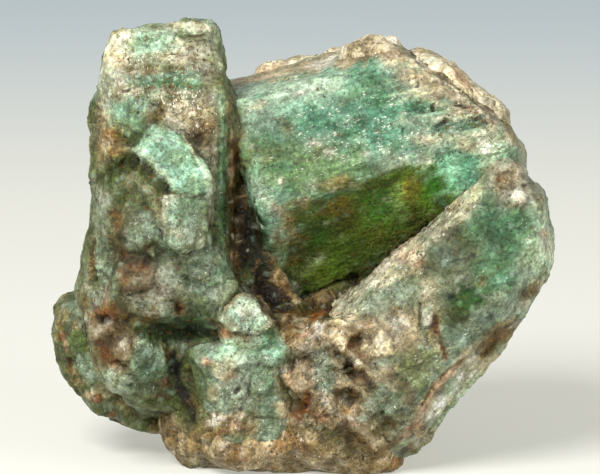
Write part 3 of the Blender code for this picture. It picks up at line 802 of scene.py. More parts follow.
def front_tint(s):
    """Colours that run over several pieces at the front, low down and along the cleft."""
    fields(s, [
        (CLAY, 0.85, 0.4, [(-1.2, 7.4), (0.6, 7.6), (2.0, 8.4), (5.4, 9.6), (7.0, 8.2), (7.4, 5.0),
                           (6.4, 2.6), (4.4, 0.2), (1.0, 1.4), (-1.4, 2.4)]),
        (MILKY, 0.9, 0.3, [(-6.3, 6.2), (-4.6, 7.0), (-2.8, 7.1), (-1.6, 7.0), (-1.3, 4.8), (-1.6, 3.2),
                           (-2.0, 2.2), (-5.4, 2.4), (-6.0, 4.2)]),
        (MOSS, 0.8, 0.25, [(-7.4, 5.6), (-6.4, 6.4), (-5.8, 5.4), (-5.7, 3.4), (-5.2, 2.0), (-6.4, 1.8),
                           (-6.8, 3.6)]),
        (TAN, 0.9, 0.3, [(-5.6, 2.6), (-4.6, 2.9), (-3.4, 2.4), (-2.6, 2.3), (-2.6, 1.0), (-5.0, 1.2)]),
        (OLIVE, 0.75, 0.3, [(-1.6, 3.6), (-0.4, 3.6), (0.8, 2.2), (2.2, 2.0), (4.2, 0.9), (4.6, 0.0),
                            (2.6, 0.4), (0.2, 1.8)]),
        (MILKY, 0.8, 0.3, [(0.4, 6.1), (1.6, 6.0), (2.4, 5.0), (2.0, 3.8), (0.8, 4.2)]),
        (MILKY, 0.85, 0.3, [(3.6, 4.6), (4.6, 4.4), (5.8, 3.6), (6.4, 2.4), (5.2, 2.4), (4.0, 2.9),
                            (3.6, 3.8)]),
        (LEAF, 0.6, 0.3, [(5.0, 6.0), (7.4, 6.2), (7.2, 3.6), (5.8, 3.8), (4.8, 4.6)]),
        (MOSS, 0.6, 0.25, [(4.0, 2.6), (5.6, 2.4), (5.4, 1.6), (4.0, 1.6)]),
        (MILKY, 0.7, 0.4, [(2.4, 9.0), (4.6, 10.0), (6.2, 9.8), (6.4, 8.8), (4.4, 8.2), (2.8, 8.2)]),
    ])
    dabs(s, [
        (MINT, 0.8, -4.0, 6.4, 1.2, 0.4, 10), (PALE_MINT, 0.7, -3.8, 5.7, 0.8, 0.5),
        (CREAM, 0.9, -4.5, 5.2, 0.6, 0.5), (PEACH, 0.6, -4.2, 5.0, 0.4, 0.3),
        (AQUA, 0.5, -2.2, 6.3, 0.7, 0.6), (SEA_GREEN, 0.5, -2.4, 4.2, 0.8, 1.1),
        (MINT, 0.5, -4.6, 3.7, 0.7, 0.8), (GREY_GREEN, 0.7, -5.4, 4.6, 0.5, 0.9),
        (TAN, 0.5, -5.2, 3.9, 0.4, 0.6), (GREY_GREEN, 0.5, -3.0, 3.0, 0.8, 0.5),
        (MOSS, 0.6, -1.8, 5.3, 0.6, 0.25), (PEACH, 0.8, -5.4, 5.7, 0.35, 0.2, -20),
        (SOOT_AND_SHADE, 0.95, -3.88, 4.12, 0.16, 0.22), (RUST, 0.8, -3.75, 4.05, 0.1, 0.12),
        (IVORY, 0.8, -4.9, 4.3, 0.12, 0.08), (CLAY, 0.9, -4.3, 2.3, 0.9, 0.4),
        (IVORY, 1.0, -4.9, 2.3, 0.45, 0.25, 20), (SOOT_AND_SHADE, 0.6, -3.4, 1.5, 0.3, 0.1),
        (IVORY, 0.8, -3.5, 2.4, 0.3, 0.1, 10), (PEACH, 0.6, -3.8, 1.9, 0.6, 0.3),
        (BROWN, 0.9, -4.2, 2.2, 0.14, 0.2), (RUST, 0.8, -4.5, 1.5, 0.4, 0.2),
        (RUST, 0.8, -4.5, 7.1, 0.35, 0.2, -20), (BROWN, 0.7, -5.1, 8.1, 0.2, 0.4),
        (SEA_GREEN, 0.8, -1.9, 7.2, 0.5, 0.6), (DEEP_SEA, 0.5, -1.9, 7.3, 0.2, 0.2),
        (AQUA, 0.7, -1.8, 6.6, 0.5, 0.5), (BROWN, 0.8, -1.0, 7.6, 0.5, 0.4, -40),
        (BROWN, 0.9, -0.5, 7.2, 0.3, 0.25), (OLIVE, 0.6, -1.0, 6.2, 0.4, 0.8),
        (IVORY, 0.9, 0.85, 7.65, 0.28, 0.22, 45), (IVORY, 0.7, 0.5, 7.15, 0.45, 0.16, 20),
        (PEACH, 0.6, 0.2, 7.3, 0.5, 0.2, 20), (STONE_GREY, 0.7, -0.2, 6.2, 0.8, 0.4),
        (CLAY, 0.7, -0.3, 5.0, 0.8, 0.7), (STONE_GREY, 0.8, -1.3, 5.1, 0.4, 0.2),
        (IVORY, 0.4, 0.2, 4.8, 0.4, 0.3), (OLIVE, 0.5, 0.4, 5.6, 0.2, 0.4, -20),
        (PEACH, 0.5, -0.8, 4.4, 0.3, 0.4), (IVORY, 0.6, 1.3, 3.4, 0.35, 0.3, -30),
        (CLAY, 0.8, 0.2, 4.3, 0.4, 0.5), (MILKY, 0.7, 1.6, 4.4, 0.6, 0.4),
        (RUST, 0.9, 0.1, 3.3, 0.25, 0.5, -15), (AMBER, 0.9, 0.5, 2.9, 0.35, 0.3),
        (RUST, 0.9, 0.9, 2.35, 0.5, 0.16, -15), (BROWN, 0.8, -0.4, 3.4, 0.5, 0.16),
        (RUST, 0.7, -0.2, 2.5, 0.4, 0.3), (CLAY, 0.8, -1.3, 2.8, 0.5, 0.35),
        (PEACH, 0.7, 1.4, 2.5, 0.5, 0.3, -20), (STONE_GREY, 0.7, 1.9, 2.8, 0.5, 0.3, -30),
        (CREAM, 0.85, 1.9, 7.0, 0.5, 0.35, -40), (CREAM, 0.7, 2.2, 6.4, 0.2, 0.4, -20),
        (CREAM, 0.7, 2.6, 8.2, 0.7, 0.3, 20), (BROWN, 0.9, 3.1, 6.9, 0.35, 0.3, 10),
        (AMBER, 0.8, 3.2, 7.1, 0.3, 0.2), (RUST, 0.6, 2.7, 6.7, 0.25, 0.15),
        (IVORY, 1.0, 3.0, 5.85, 0.4, 0.22, -35), (PEACH, 0.8, 3.5, 6.1, 0.4, 0.2, -10),
        (RUST, 0.5, 3.5, 6.0, 0.2, 0.1), (CREAM, 1.0, 4.5, 6.6, 0.5, 0.5), (IVORY, 0.6, 4.4, 6.7, 0.3, 0.3),
        (PEACH, 0.5, 3.8, 7.6, 0.6, 0.3), (STONE_GREY, 0.8, 5.2, 7.6, 0.5, 0.5),
        (IVORY, 0.5, 6.0, 7.9, 0.2, 0.4, 20), (BROWN, 0.6, 4.3, 7.8, 0.1, 0.3, 30),
        (STONE_GREY, 0.7, 4.2, 5.3, 0.5, 0.4), (MILKY, 0.7, 5.0, 5.6, 0.5, 0.3),
        (OLIVE, 0.7, 5.5, 5.4, 0.3, 0.16, 20), (OLIVE, 0.6, 5.8, 4.4, 0.5, 0.25),
        (AMBER, 0.4, 5.0, 4.8, 0.3, 0.2), (IVORY, 0.9, 6.7, 5.5, 0.25, 0.08, 40),
        (BROWN, 1.0, 2.8, 3.7, 0.6, 0.3, -15), (SOOT_AND_SHADE, 0.6, 2.6, 3.5, 0.25, 0.12),
        (OLIVE, 0.8, 3.6, 3.4, 0.4, 0.25, -20), (AMBER, 0.8, 2.7, 2.8, 0.5, 0.2, -10),
        (IVORY, 0.7, 2.8, 2.4, 0.3, 0.15, -10), (PALE_MINT, 0.8, 3.6, 2.3, 0.35, 0.2),
        (PEACH, 0.7, 2.6, 2.1, 0.5, 0.12, -10), (CLAY, 0.7, 3.7, 1.6, 0.4, 0.4, -30),
        (STONE_GREY, 0.5, 4.4, 1.0, 0.4, 0.3), (RUST, 0.5, 5.3, 1.8, 0.3, 0.1, -30),
        (OLIVE, 0.6, 2.0, 1.6, 0.5, 0.3), (MOSS, 0.6, 5.3, 3.6, 0.3, 0.3),
    ])
    strokes(s, [
        (BROWN, 0.9, 0.4, SLOT), (SOOT_AND_SHADE, 0.8, 0.2, [(2.5, 5.4), (3.0, 4.9)]),
        (RUST, 0.8, 0.1, [(0.1, 3.9), (0.2, 3.0), (0.5, 2.5), (1.2, 2.2)]),
        (MOSS, 0.6, 0.15, [(-1.4, 4.8), (-1.0, 4.0), (-0.5, 3.4)]),
        (BROWN, 0.7, 0.35, [(2.4, 1.8), (2.9, 1.1), (3.6, 0.9), (4.4, 0.2)]),
        (BROWN, 0.8, 0.1, [(2.2, 1.9), (2.9, 1.7)]), (BROWN, 0.9, 0.3, SEAM),
        (TAN, 0.8, 0.12, [(-4.3, 21.0), (-4.2, 18.6), (-4.3, 16.8), (-4.15, 15.0)]),
    ])
    # Olive and near-black green over the cleft are painted shade on the shaded end of the main crystal; the
    # undercut's dark green is the stone's own; the crevice is painted moss green with a near-black core.
    areas(s, [
        (OLIVE, 0.95, 0.3, 0.25, CLEFT), (NIGHT_GREEN, 0.75, 0.3, 0.25, CLEFT),
        (FOREST, 0.85, 0.5, 0.4, UNDERCUT),
        (MOSS, 0.9, 0.3, 0.3, CREVICE), (SOOT_AND_SHADE, 0.9, 0.2, 0.2, CREVICE_CORE),
    ])
    # Near-black green and near-black deep in the cleft are painted shade; the small ivory and pale mint
    # marks along the seam and in the cleft are painted glints.
    dabs(s, [
        (NIGHT_GREEN, 0.9, -3.4, 14.0, 0.4, 0.9), (SOOT_AND_SHADE, 0.6, -3.8, 14.6, 0.2, 0.7),
        (BROWN, 0.8, -4.0, 13.2, 0.3, 0.5), (SOOT_AND_SHADE, 0.6, -3.4, 13.1, 0.5, 0.15),
        (PEACH, 0.8, -4.2, 17.0, 0.16, 0.6), (IVORY, 0.9, -4.35, 16.6, 0.06, 0.2),
        (IVORY, 0.9, -4.1, 13.8, 0.08, 0.16), (IVORY, 0.8, -4.25, 14.9, 0.14, 0.06),
        (IVORY, 0.8, -4.1, 12.8, 0.07, 0.12), (PEACH, 0.7, -4.1, 11.8, 0.1, 0.3),
        (IVORY, 0.8, -2.75, 13.6, 0.14, 0.16), (PALE_MINT, 0.8, -2.4, 13.5, 0.1, 0.2, 20),
        (IVORY, 0.9, -2.95, 13.05, 0.07, 0.07), (IVORY, 0.8, -3.25, 12.1, 0.06, 0.1),
        (TAN, 0.5, -3.8, 13.8, 0.16, 0.3), (MOSS, 0.7, -3.4, 10.7, 0.4, 0.5),
        (BROWN, 0.8, -2.6, 9.5, 0.4, 0.3, -30), (SOOT_AND_SHADE, 0.7, -1.7, 8.8, 0.25, 0.5, 10),
        (BROWN, 0.7, -1.3, 8.1, 0.4, 0.3, -40), (BROWN, 0.9, -8.0, 5.9, 0.2, 0.4),
        (RUST, 0.6, -8.2, 4.4, 0.4, 0.3, 20), (BROWN, 0.8, -8.4, 3.6, 0.4, 0.3, -30),
        (PEACH, 0.5, -8.0, 6.2, 0.12, 0.06), (BROWN, 0.5, -6.4, 3.4, 0.2, 0.4, 10),
        (NIGHT_GREEN, 0.7, -5.7, 7.4, 0.9, 0.25), (OLIVE, 0.6, -8.6, 7.4, 1.2, 0.3),
        (MILKY, 0.7, -8.9, 5.7, 0.7, 0.7), (MILKY, 0.6, -10.4, 4.4, 1.5, 0.45, -8),
        (PALE_MINT, 0.5, -4.7, 10.0, 0.4, 0.8, 20), (PALE_MINT, 0.5, -4.1, 5.5, 0.7, 0.5),
        (STONE_GREY, 0.35, -3.6, 4.0, 1.5, 1.2),
    ])


# ---------------------------------------------------------------- the pieces

UPPER_LIP = [(-0.6, 14.7), (1.0, 15.5), (3.0, 16.1), (5.5, 16.7), (7.6, 17.0)]
LOWER_FACET = [(-1.2, 9.2), (-1.0, 12.0), *UPPER_LIP, (8.0, 16.2), (8.5, 15.5), (8.6, 14.0), (7.4, 12.8),
               (5.8, 11.3), (3.8, 9.6), (1.6, 8.6)]
TOP_EDGE = [(-3.9, 22.4), (-1.5, 22.35), (0.6, 22.9), (2.4, 23.3), (4.6, 24.0), (6.2, 23.5), (8.2, 22.8),
            (9.6, 22.0), (10.6, 21.0), (11.2, 20.0), (11.8, 18.8)]
RIGHT_RIM = [(4.8, 24.2), (6.4, 23.8), (8.1, 22.5), (9.8, 21.2), (11.1, 20.3), (12.2, 19.5), (13.0, 18.3),
             (13.3, 16.9)]
LEFT_RIM = [(-4.0, 22.15), (-2.7, 22.45), (-0.6, 22.9), (1.2, 23.4), (2.4, 23.8)]
SMOOTH_PATCH = [(7.8, 17.3), (8.6, 17.8), (9.8, 17.7), (10.1, 16.9), (9.8, 16.3), (9.0, 15.6), (8.4, 15.5),
                (7.9, 16.2)]


ARCH_AXIS = (0.97, 0.0, 0.23)  # the way that the arched layers on the right run
ARCH_HEIGHT = 0.14
FACET_SET_BACK = 0.12  # mm at the facet's upper lip
FACET_SLOPE = 0.10  # how fast the facet falls back below its lip
FACET_REACH = 5  # mm below the lip where it stops falling back
PATCH_SET_BACK = 0.1


def main_crystal():
    """The big emerald that lies across the top."""
    s = Surface("main_crystal", "main_emerald")
    close_up(s)
    lower = s.inside(LOWER_FACET, edge=0.5)
    patch = s.inside(SMOOTH_PATCH)
    fall = np.minimum(s.away_from(s.seen(0), UPPER_LIP), FACET_REACH)
    right = s.oval(8.6, 20.2, 3.4, 2.4, turn=-20, soft=0.6)
    arches = layered(squeezed(s.first, ARCH_AXIS, 0.9), size=0.42, seed=41)
    total = weathered(s, MAIN_AXIS, rough=0.4) * (1 - 0.4 * lower - 0.7 * patch)
    total += -lower * (FACET_SET_BACK + FACET_SLOPE * fall) + right * ARCH_HEIGHT * arches
    total -= PATCH_SET_BACK * patch
    total += grooves(s, [(0.1, 0.4, UPPER_LIP), (-0.3, 0.25, [(-0.5, 8.8), (1.2, 9.2), (3.0, 10.0)])])
    total += dents(s, [
        (-0.25, 8.2, 19.5, 0.4, 0.12, 20), (-0.15, 5.75, 19.0, 0.16, 0.12, 30), (-0.2, 6.7, 21.9, 0.2, 0.2),
        (-0.2, 9.4, 20.5, 0.45, 0.12, -5), (-0.2, 10.2, 19.65, 0.4, 0.12), (-0.12, 2.35, 19.35, 0.1, 0.1),
        (0.12, -1.4, 16.15, 0.25, 0.16, 50), (0.15, -0.7, 9.6, 0.35, 0.5), (0.12, 7.6, 17.4, 0.3, 0.4),
        (0.1, 1.6, 17.75, 0.3, 0.16), (-0.1, -1.0, 19.4, 0.5, 0.3), (-0.2, 7.7, 20.6, 0.2, 0.3),
    ])
    s.push(total)

    s.tone[:] = srgb(AQUA)
    mottles(s, [
        (TEAL, 0.7, 2.4, 21, -0.3, 0.6), (MINT, 0.3, 1.2, 22, 0.1, 0.8),
        (GREY_GREEN, 0.4, 0.9, 23, 0.3, 0.8),
    ])
    fields(s, [
        (PALE_MINT, 0.8, 0.5, [(-4.4, 22.2), (-1.2, 22.2), (1.0, 22.9), (2.2, 22.4), (2.0, 21.4),
                               (-0.2, 20.8), (-2.6, 20.4), (-4.3, 20.0)]),
        (TEAL, 0.9, 0.5, [(-0.4, 19.6), (0.2, 20.4), (2.4, 20.4), (3.4, 21.0), (6.0, 21.4), (7.6, 20.6),
                          (5.6, 19.4), (6.0, 18.2), (3.4, 17.9), (1.8, 18.6), (0.0, 18.6)]),
        (LEAF, 0.8, 0.5, [(-3.8, 18.8), (-1.0, 18.4), (1.0, 18.3), (3.2, 17.8), (4.2, 17.2), (1.6, 16.2),
                          (-0.6, 15.4), (-2.8, 15.6), (-3.6, 16.8)]),
        (MILKY, 0.7, 0.4, [(-3.9, 20.4), (-1.4, 20.2), (-0.6, 19.2), (-1.6, 18.6), (-3.8, 18.8)]),
        (SEA_GREEN, 0.75, 0.4, [(3.0, 22.4), (5.0, 22.4), (6.2, 21.4), (4.8, 20.4), (2.8, 20.8)]),
        (STONE_GREY, 0.8, 0.4, [(4.0, 23.6), (6.0, 23.4), (8.6, 22.6), (10.2, 21.2), (10.8, 20.0),
                                (9.0, 20.6), (7.8, 21.2), (6.2, 21.6), (5.2, 22.4)]),
        (MINT, 0.75, 0.4, [(6.0, 19.4), (7.6, 20.2), (9.6, 20.0), (10.4, 19.2), (9.8, 18.0), (7.8, 18.0),
                           (6.6, 18.2)]),
        (STONE_GREY, 0.7, 0.35, [(4.2, 17.6), (7.4, 17.8), (7.6, 17.0), (5.4, 16.4), (3.8, 16.4)]),
        (PALE_MINT, 0.9, 0.3, [(9.7, 18.2), (10.0, 19.0), (11.0, 19.2), (11.6, 18.4), (11.2, 17.4),
                               (10.3, 16.6), (10.1, 17.4)]),
        (OLIVE, 0.8, 0.3, [(-4.2, 19.6), (-3.6, 19.2), (-3.3, 17.4), (-3.0, 15.8), (-2.6, 14.6),
                           (-3.2, 14.4), (-4.0, 16.0)]),
    ])
    crumbs(s, 0.5 * (1 - lower) * (1 - patch), PALE_MINT, SEA_GREEN, 0.24)
    s.tint(ramp(arches, 0.1, 0.5) * right, CREAM, 0.6)
    s.tint(ramp(arches, -0.1, -0.5) * right, DEEP_SEA, 0.6)
    dabs(s, [
        (PALE_MINT, 0.9, 1.2, 21.7, 1.0, 0.4, 20), (IVORY, 0.7, -0.4, 21.2, 0.9, 0.12, 12),
        (TEAL, 0.6, -2.4, 21.1, 0.6, 0.16, 15), (CREAM, 0.5, -2.6, 20.4, 0.6, 0.25),
        (AQUA, 0.6, 1.6, 22.5, 0.7, 0.3, 20), (LEAF, 0.5, 0.4, 22.3, 0.6, 0.15, 15),
        (DEEP_SEA, 0.6, 1.4, 19.5, 0.6, 0.25), (DEEP_SEA, 0.6, 3.2, 19.5, 0.6, 0.3, 20),
        (MINT, 0.8, 2.4, 19.6, 0.35, 0.35), (SOOT_AND_SHADE, 0.8, 2.37, 19.37, 0.08, 0.08),
        (MINT, 0.8, 3.3, 18.5, 0.4, 0.25), (SEA_GREEN, 0.8, 2.4, 18.7, 0.6, 0.4, -10),
        (DEEP_SEA, 0.6, 4.2, 20.6, 0.5, 0.2, 30), (OLIVE, 0.5, 2.6, 20.9, 0.5, 0.2, 30),
        (PEACH, 0.4, 2.1, 20.6, 0.2, 0.1, 20), (DEEP_SEA, 0.7, 6.9, 20.35, 0.5, 0.2, -10),
        (DEEP_SEA, 0.6, 4.3, 22.2, 0.6, 0.25, 20), (SEA_GREEN, 0.7, 5.5, 18.2, 0.7, 0.25),
        (SEA_GREEN, 0.7, -2.3, 18.4, 0.6, 0.4), (GREY_GREEN, 0.7, -2.4, 17.7, 1.2, 0.4),
        (TAN, 0.4, -2.4, 17.2, 1.2, 0.2), (SEA_GREEN, 0.8, -1.2, 16.8, 1.0, 0.35),
        (AQUA, 0.6, -2.6, 16.8, 0.4, 0.6), (MILKY, 0.7, -2.7, 15.6, 0.4, 0.8, 20),
        (SEA_GREEN, 0.6, -1.0, 15.6, 0.8, 0.4), (BROWN, 0.7, -1.0, 19.4, 0.35, 0.25, -30),
        (AMBER, 0.4, -1.0, 18.9, 0.5, 0.3), (OLIVE, 0.6, -3.7, 21.2, 0.2, 0.3),
        (BROWN, 0.6, -3.9, 20.1, 0.3, 0.2), (AMBER, 0.6, -3.9, 18.7, 0.25, 0.5),
        (BROWN, 0.5, 0.4, 17.3, 0.3, 0.12), (AMBER, 0.5, 0.9, 17.8, 0.2, 0.2),
        (FOREST, 0.85, 4.0, 16.9, 0.6, 0.4, 10), (IVORY, 0.9, 1.6, 17.75, 0.35, 0.18, -20),
        (IVORY, 0.8, 0.6, 18.25, 0.5, 0.12), (IVORY, 0.9, 3.6, 17.75, 0.25, 0.14),
        (IVORY, 0.7, 4.7, 17.9, 0.3, 0.08, 20), (PALE_MINT, 0.7, 7.5, 17.5, 0.35, 0.5, -30),
        (IVORY, 0.8, 7.3, 17.2, 0.2, 0.2), (CREAM, 0.8, 6.8, 18.5, 0.7, 0.2, 5),
        (PEACH, 0.6, 7.3, 18.3, 0.4, 0.12), (CREAM, 0.7, 9.0, 20.0, 0.6, 0.1, -10),
        (CREAM, 0.7, 6.5, 22.1, 0.4, 0.3), (TAN, 0.7, 7.9, 21.2, 0.4, 0.3),
        (OLIVE, 0.7, 7.7, 20.6, 0.2, 0.3), (SOOT_AND_SHADE, 0.8, 6.7, 21.85, 0.1, 0.16, -20),
        (BROWN, 0.8, 7.5, 22.2, 0.2, 0.25, 20), (CREAM, 0.8, 9.6, 18.2, 0.6, 0.5),
        (IVORY, 0.9, 10.4, 18.4, 0.35, 0.5), (PEACH, 0.5, 11.2, 18.8, 0.3, 0.4),
        (OLIVE, 0.6, 9.8, 20.9, 0.6, 0.12, -10), (TAN, 0.7, 10.8, 16.9, 0.5, 0.16, 50),
        (IVORY, 0.8, -1.4, 16.15, 0.28, 0.2, 50), (IVORY, 0.8, -3.05, 18.1, 0.1, 0.08),
        (PALE_MINT, 0.5, -2.4, 16.3, 0.3, 0.1), (TAN, 0.8, 1.4, 15.8, 1.2, 0.35, 18),
        (RUST, 0.4, 2.2, 16.3, 0.4, 0.2, 20), (STONE_GREY, 0.7, 0.6, 15.8, 0.4, 0.3),
        (CREAM, 0.7, 0.7, 15.0, 0.2, 0.12), (IVORY, 0.8, 1.7, 15.5, 0.16, 0.12),
        (AMBER, 0.6, 3.0, 15.9, 0.5, 0.3),
    ])
    strokes(s, [
        (CLAY, 0.8, 0.35, TOP_EDGE[:3]), (IVORY, 0.9, 0.25, [(0.7, 23.0), (2.4, 23.3)]),
        (CLAY, 0.95, 0.6, [(2.2, 23.3), (4.4, 23.9)]),
        (CREAM, 0.95, 0.7, [(4.6, 23.9), (6.4, 23.2), (8.4, 22.6)]),
        (PEACH, 0.8, 0.5, [(8.6, 22.4), (10.4, 21.0)]),
        (CLAY, 0.6, 0.3, [(5.6, 22.6), (7.4, 22.0), (8.8, 21.5)]),
        (CREAM, 0.6, 0.2, [(6.8, 21.3), (8.2, 20.6), (9.6, 20.1)]),
        (CREAM, 0.8, 0.2, [(8.0, 21.4), (9.2, 21.2), (10.4, 21.2)]),
        (STONE_GREY, 0.9, 0.35, [(10.4, 21.0), (11.3, 19.6)]),
        (SOOT_AND_SHADE, 0.9, 0.08, [(7.9, 19.35), (8.5, 19.65)]), (BROWN, 0.8, 0.07, [(8.3, 19.75), (8.6, 19.7)]),
        (BROWN, 0.9, 0.1, [(9.1, 20.5), (9.7, 20.45)]), (SOOT_AND_SHADE, 0.8, 0.08, [(9.5, 19.85), (10.0, 19.9)]),
        (BROWN, 0.8, 0.1, [(10.1, 19.65), (10.6, 19.6)]), (SOOT_AND_SHADE, 0.8, 0.06, [(5.65, 18.85), (5.8, 19.1)]),
        (PEACH, 0.6, 0.08, [(8.8, 20.55), (9.4, 20.25), (10.2, 20.5)]),
        (CREAM, 0.7, 0.07, [(5.7, 20.2), (5.65, 19.6)]), (IVORY, 0.7, 0.07, [(6.4, 18.7), (7.2, 19.1)]),
        (IVORY, 0.6, 0.06, [(1.2, 18.6), (1.9, 19.0)]),
    ])
    crumbs(s, 0.8 * lower, LEAF, NIGHT_GREEN, 0.3, 73)
    mottles(s, [(AMBER, 0.6, 0.5, 25, 0.1, 0.7), (MILKY, 0.3, 1.0, 26, 0.2, 0.8)], share=lower)
    areas(s, [(GLASS_GREEN, 1.0, 0.2, 0.15, SMOOTH_PATCH, 0.3)])
    dabs(s, [
        (MINT, 0.5, 8.6, 16.8, 0.5, 0.6), (TEAL, 0.7, 9.0, 16.35, 0.45, 0.16),
        (AQUA, 0.6, 9.0, 17.6, 0.6, 0.2),
    ])
    areas(s, [(GRASS, 1.0, 1.1, 0.6, LOWER_FACET, 0.5)])
    mottles(s, [(OLIVE, 0.7, 0.8, 24, 0.0, 0.7)], share=lower)
    dabs(s, [
        (EMERALD, 0.7, 4.3, 14.7, 0.9, 1.1), (GRASS, 0.8, 4.4, 16.0, 0.6, 0.5),
        (EMERALD, 0.95, 7.4, 15.7, 0.6, 0.9), (LEAF, 0.7, 5.6, 14.8, 0.6, 1.0),
        (AMBER, 0.35, 6.4, 15.6, 0.5, 0.5), (OLIVE, 0.7, 6.5, 14.8, 0.6, 0.5, 30),
        (AMBER, 0.5, 1.8, 14.6, 0.9, 0.5), (OLIVE, 0.8, 2.4, 13.8, 1.2, 0.7, 20),
        (FOREST, 0.7, 0.8, 13.2, 1.0, 0.8), (GRASS, 0.7, 2.4, 12.4, 1.2, 0.6, 20),
        (BROWN, 0.35, 4.2, 12.8, 0.9, 0.6, 40), (MOSS, 0.8, 3.6, 11.8, 0.9, 0.5, 40),
        (GRASS, 0.8, 2.0, 11.3, 1.1, 0.5, 20), (GREY_GREEN, 0.8, 0.6, 11.5, 0.7, 0.4, -10),
        (PALE_MINT, 0.5, 1.0, 11.5, 0.2, 0.1, 40), (GREY_GREEN, 0.7, -0.1, 10.6, 0.6, 0.5),
        (MOSS, 0.8, 0.8, 10.2, 0.9, 0.5, 10), (BROWN, 0.5, -0.5, 12.9, 0.5, 0.6),
        (BROWN, 0.7, -0.5, 11.4, 0.35, 0.35), (NIGHT_GREEN, 0.8, 2.2, 9.9, 1.1, 0.25, 28),
        (FOREST, 0.7, 3.9, 11.1, 0.8, 0.25, 48), (MOSS, 0.8, 6.4, 13.4, 1.5, 0.6, 45),
        (GRASS, 0.8, 7.6, 14.9, 0.8, 0.5, 60), (BROWN, 0.5, 5.6, 12.2, 1.6, 0.2, 42),
        (TAN, 0.8, -0.9, 13.6, 0.4, 0.9, 10), (CLAY, 0.7, -0.1, 14.8, 0.5, 0.3, 20),
        (IVORY, 0.7, 1.5, 13.7, 0.14, 0.12), (IVORY, 0.7, 2.3, 12.85, 0.08, 0.07),
        (IVORY, 0.8, 4.7, 15.05, 0.09, 0.07), (STONE_GREY, 1.0, -0.7, 9.7, 0.35, 0.5),
        (PALE_MINT, 0.8, -0.7, 9.5, 0.25, 0.35), (CLAY, 0.7, -1.2, 9.7, 0.2, 0.3),
    ])
    strokes(s, [
        (MILKY, 0.9, 0.4, [(-2.5, 15.2), (-2.0, 14.4)]),
        (PALE_MINT, 0.7, 0.25, [(-2.1, 14.9), (-1.8, 14.5)]),
        (PEACH, 0.7, 0.16, [(-1.8, 14.7), (-1.5, 14.3)]), (TAN, 0.8, 0.3, [(-1.6, 13.4), (-1.5, 12.6)]),
        (MILKY, 0.7, 0.3, [(-1.7, 14.0), (-1.8, 13.0)]),
        (GREY_GREEN, 0.7, 0.3, [(-1.4, 12.2), (-1.3, 11.0), (-1.2, 10.2)]),
        # Dark green down the left of the facet is painted shade, and near-black green under the crystal's
        # lower edge is painted shadow.
        (FOREST, 0.9, 0.25, [(-2.3, 14.0), (-2.1, 12.8), (-1.85, 11.4), (-1.6, 10.4)]),
        (NIGHT_GREEN, 1.0, 0.25, [(-1.2, 9.2), (-0.3, 8.9), (1.2, 9.2), (2.2, 9.7), (3.4, 10.4)]),
    ])
    s.tint(s.frayed(s.run(RIGHT_RIM, 0.75, 0.8), 0.5), CLAY, 1.0)
    s.tint(s.frayed(s.run(LEFT_RIM, 0.45, 0.8), 0.5), CLAY, 0.9)
    crumbs(s, s.run(RIGHT_RIM, 0.9, 0.6) + 0.6 * s.run(LEFT_RIM, 0.5, 0.6), IVORY, BROWN, 0.3, 75)
    dabs(s, [
        (PEACH, 0.7, -2.2, 22.5, 0.9, 0.2, 12), (TAN, 0.7, -0.4, 22.9, 0.6, 0.15, 15),
        (IVORY, 0.8, 1.3, 23.3, 0.9, 0.2, 18), (PEACH, 0.9, 9.6, 21.6, 0.9, 0.3, -42),
        (IVORY, 0.8, 7.4, 23.0, 0.8, 0.25, -30), (BROWN, 0.6, 6.3, 23.5, 0.4, 0.12, -20),
        (BROWN, 0.7, 11.0, 20.4, 0.4, 0.15, -45), (TAN, 0.8, 12.2, 19.2, 0.6, 0.3, -55),
        (MILKY, 0.8, 12.9, 17.6, 0.4, 0.6, 10),
    ])
    front_tint(s)
    contact_rust_and_shade(s)
    shades(s, [
        (0.85, 0.2, 21.9, 2.4, 0.7, 8), (0.72, 11.3, 18.9, 0.9, 1.3), (0.9, 8.2, 19.2, 2.2, 1.6),
        (0.8, 2.8, 19.2, 3.4, 1.2, 5), (0.8, 8.0, 20.0, 2.2, 1.8, -10), (0.85, -1.8, 18.6, 2.0, 1.6),
        (1.6, 2.6, 12.8, 3.0, 2.4, 30), (2.4, 7.2, 15.6, 1.3, 1.4, 20), (1.35, 4.8, 14.4, 1.6, 1.6, 30),
        (1.8, 0.8, 10.4, 1.6, 0.9, 10), (1.25, -0.8, 22.6, 2.6, 0.4, 8), (1.6, 10.8, 17.8, 1.0, 1.2),
        (1.2, 9.4, 21.8, 1.6, 0.8, -35), (1.3, 9.0, 16.8, 0.9, 0.9),
    ])
    s.give("gloss", patch + 0.6 * lower)
    sugary = s.oval(4.6, 19.2, 4.6, 1.8, turn=5, soft=0.6)
    sugar_glints = 0.15 + 0.35 * sugary - 0.15 * lower
    return finished(s, emerald_material(), sugar_glints, grit=0.15 + 0.25 * lower + 0.3 * right)


FLAKE = [(-9.9, 17.95), (-9.4, 18.3), (-9.2, 18.8), (-8.7, 19.35), (-8.1, 19.35), (-7.8, 19.0),
         (-7.0, 18.9), (-6.8, 18.1), (-6.3, 17.5), (-5.7, 17.1), (-5.3, 16.6), (-5.25, 15.5), (-6.2, 15.3),
         (-7.2, 15.35), (-7.7, 16.0), (-8.8, 17.0)]
FLAKE_RIM = [(-9.8, 17.9), (-9.3, 17.45), (-8.7, 16.95), (-8.1, 16.5), (-7.6, 15.95), (-7.3, 15.45)]
# Where the flake's lower edge casts its shadow, painted as a dark line.
FLAKE_SHADOW_LINE = [(-11.7, 16.5), (-10.8, 17.2), (-9.7, 17.2), (-8.9, 16.7), (-8.2, 16.0), (-7.6, 15.4)]
PANEL = [(-8.1, 15.1), (-7.2, 15.3), (-5.35, 15.3), (-5.55, 12.9), (-5.9, 12.2), (-7.2, 12.1), (-8.0, 12.8)]
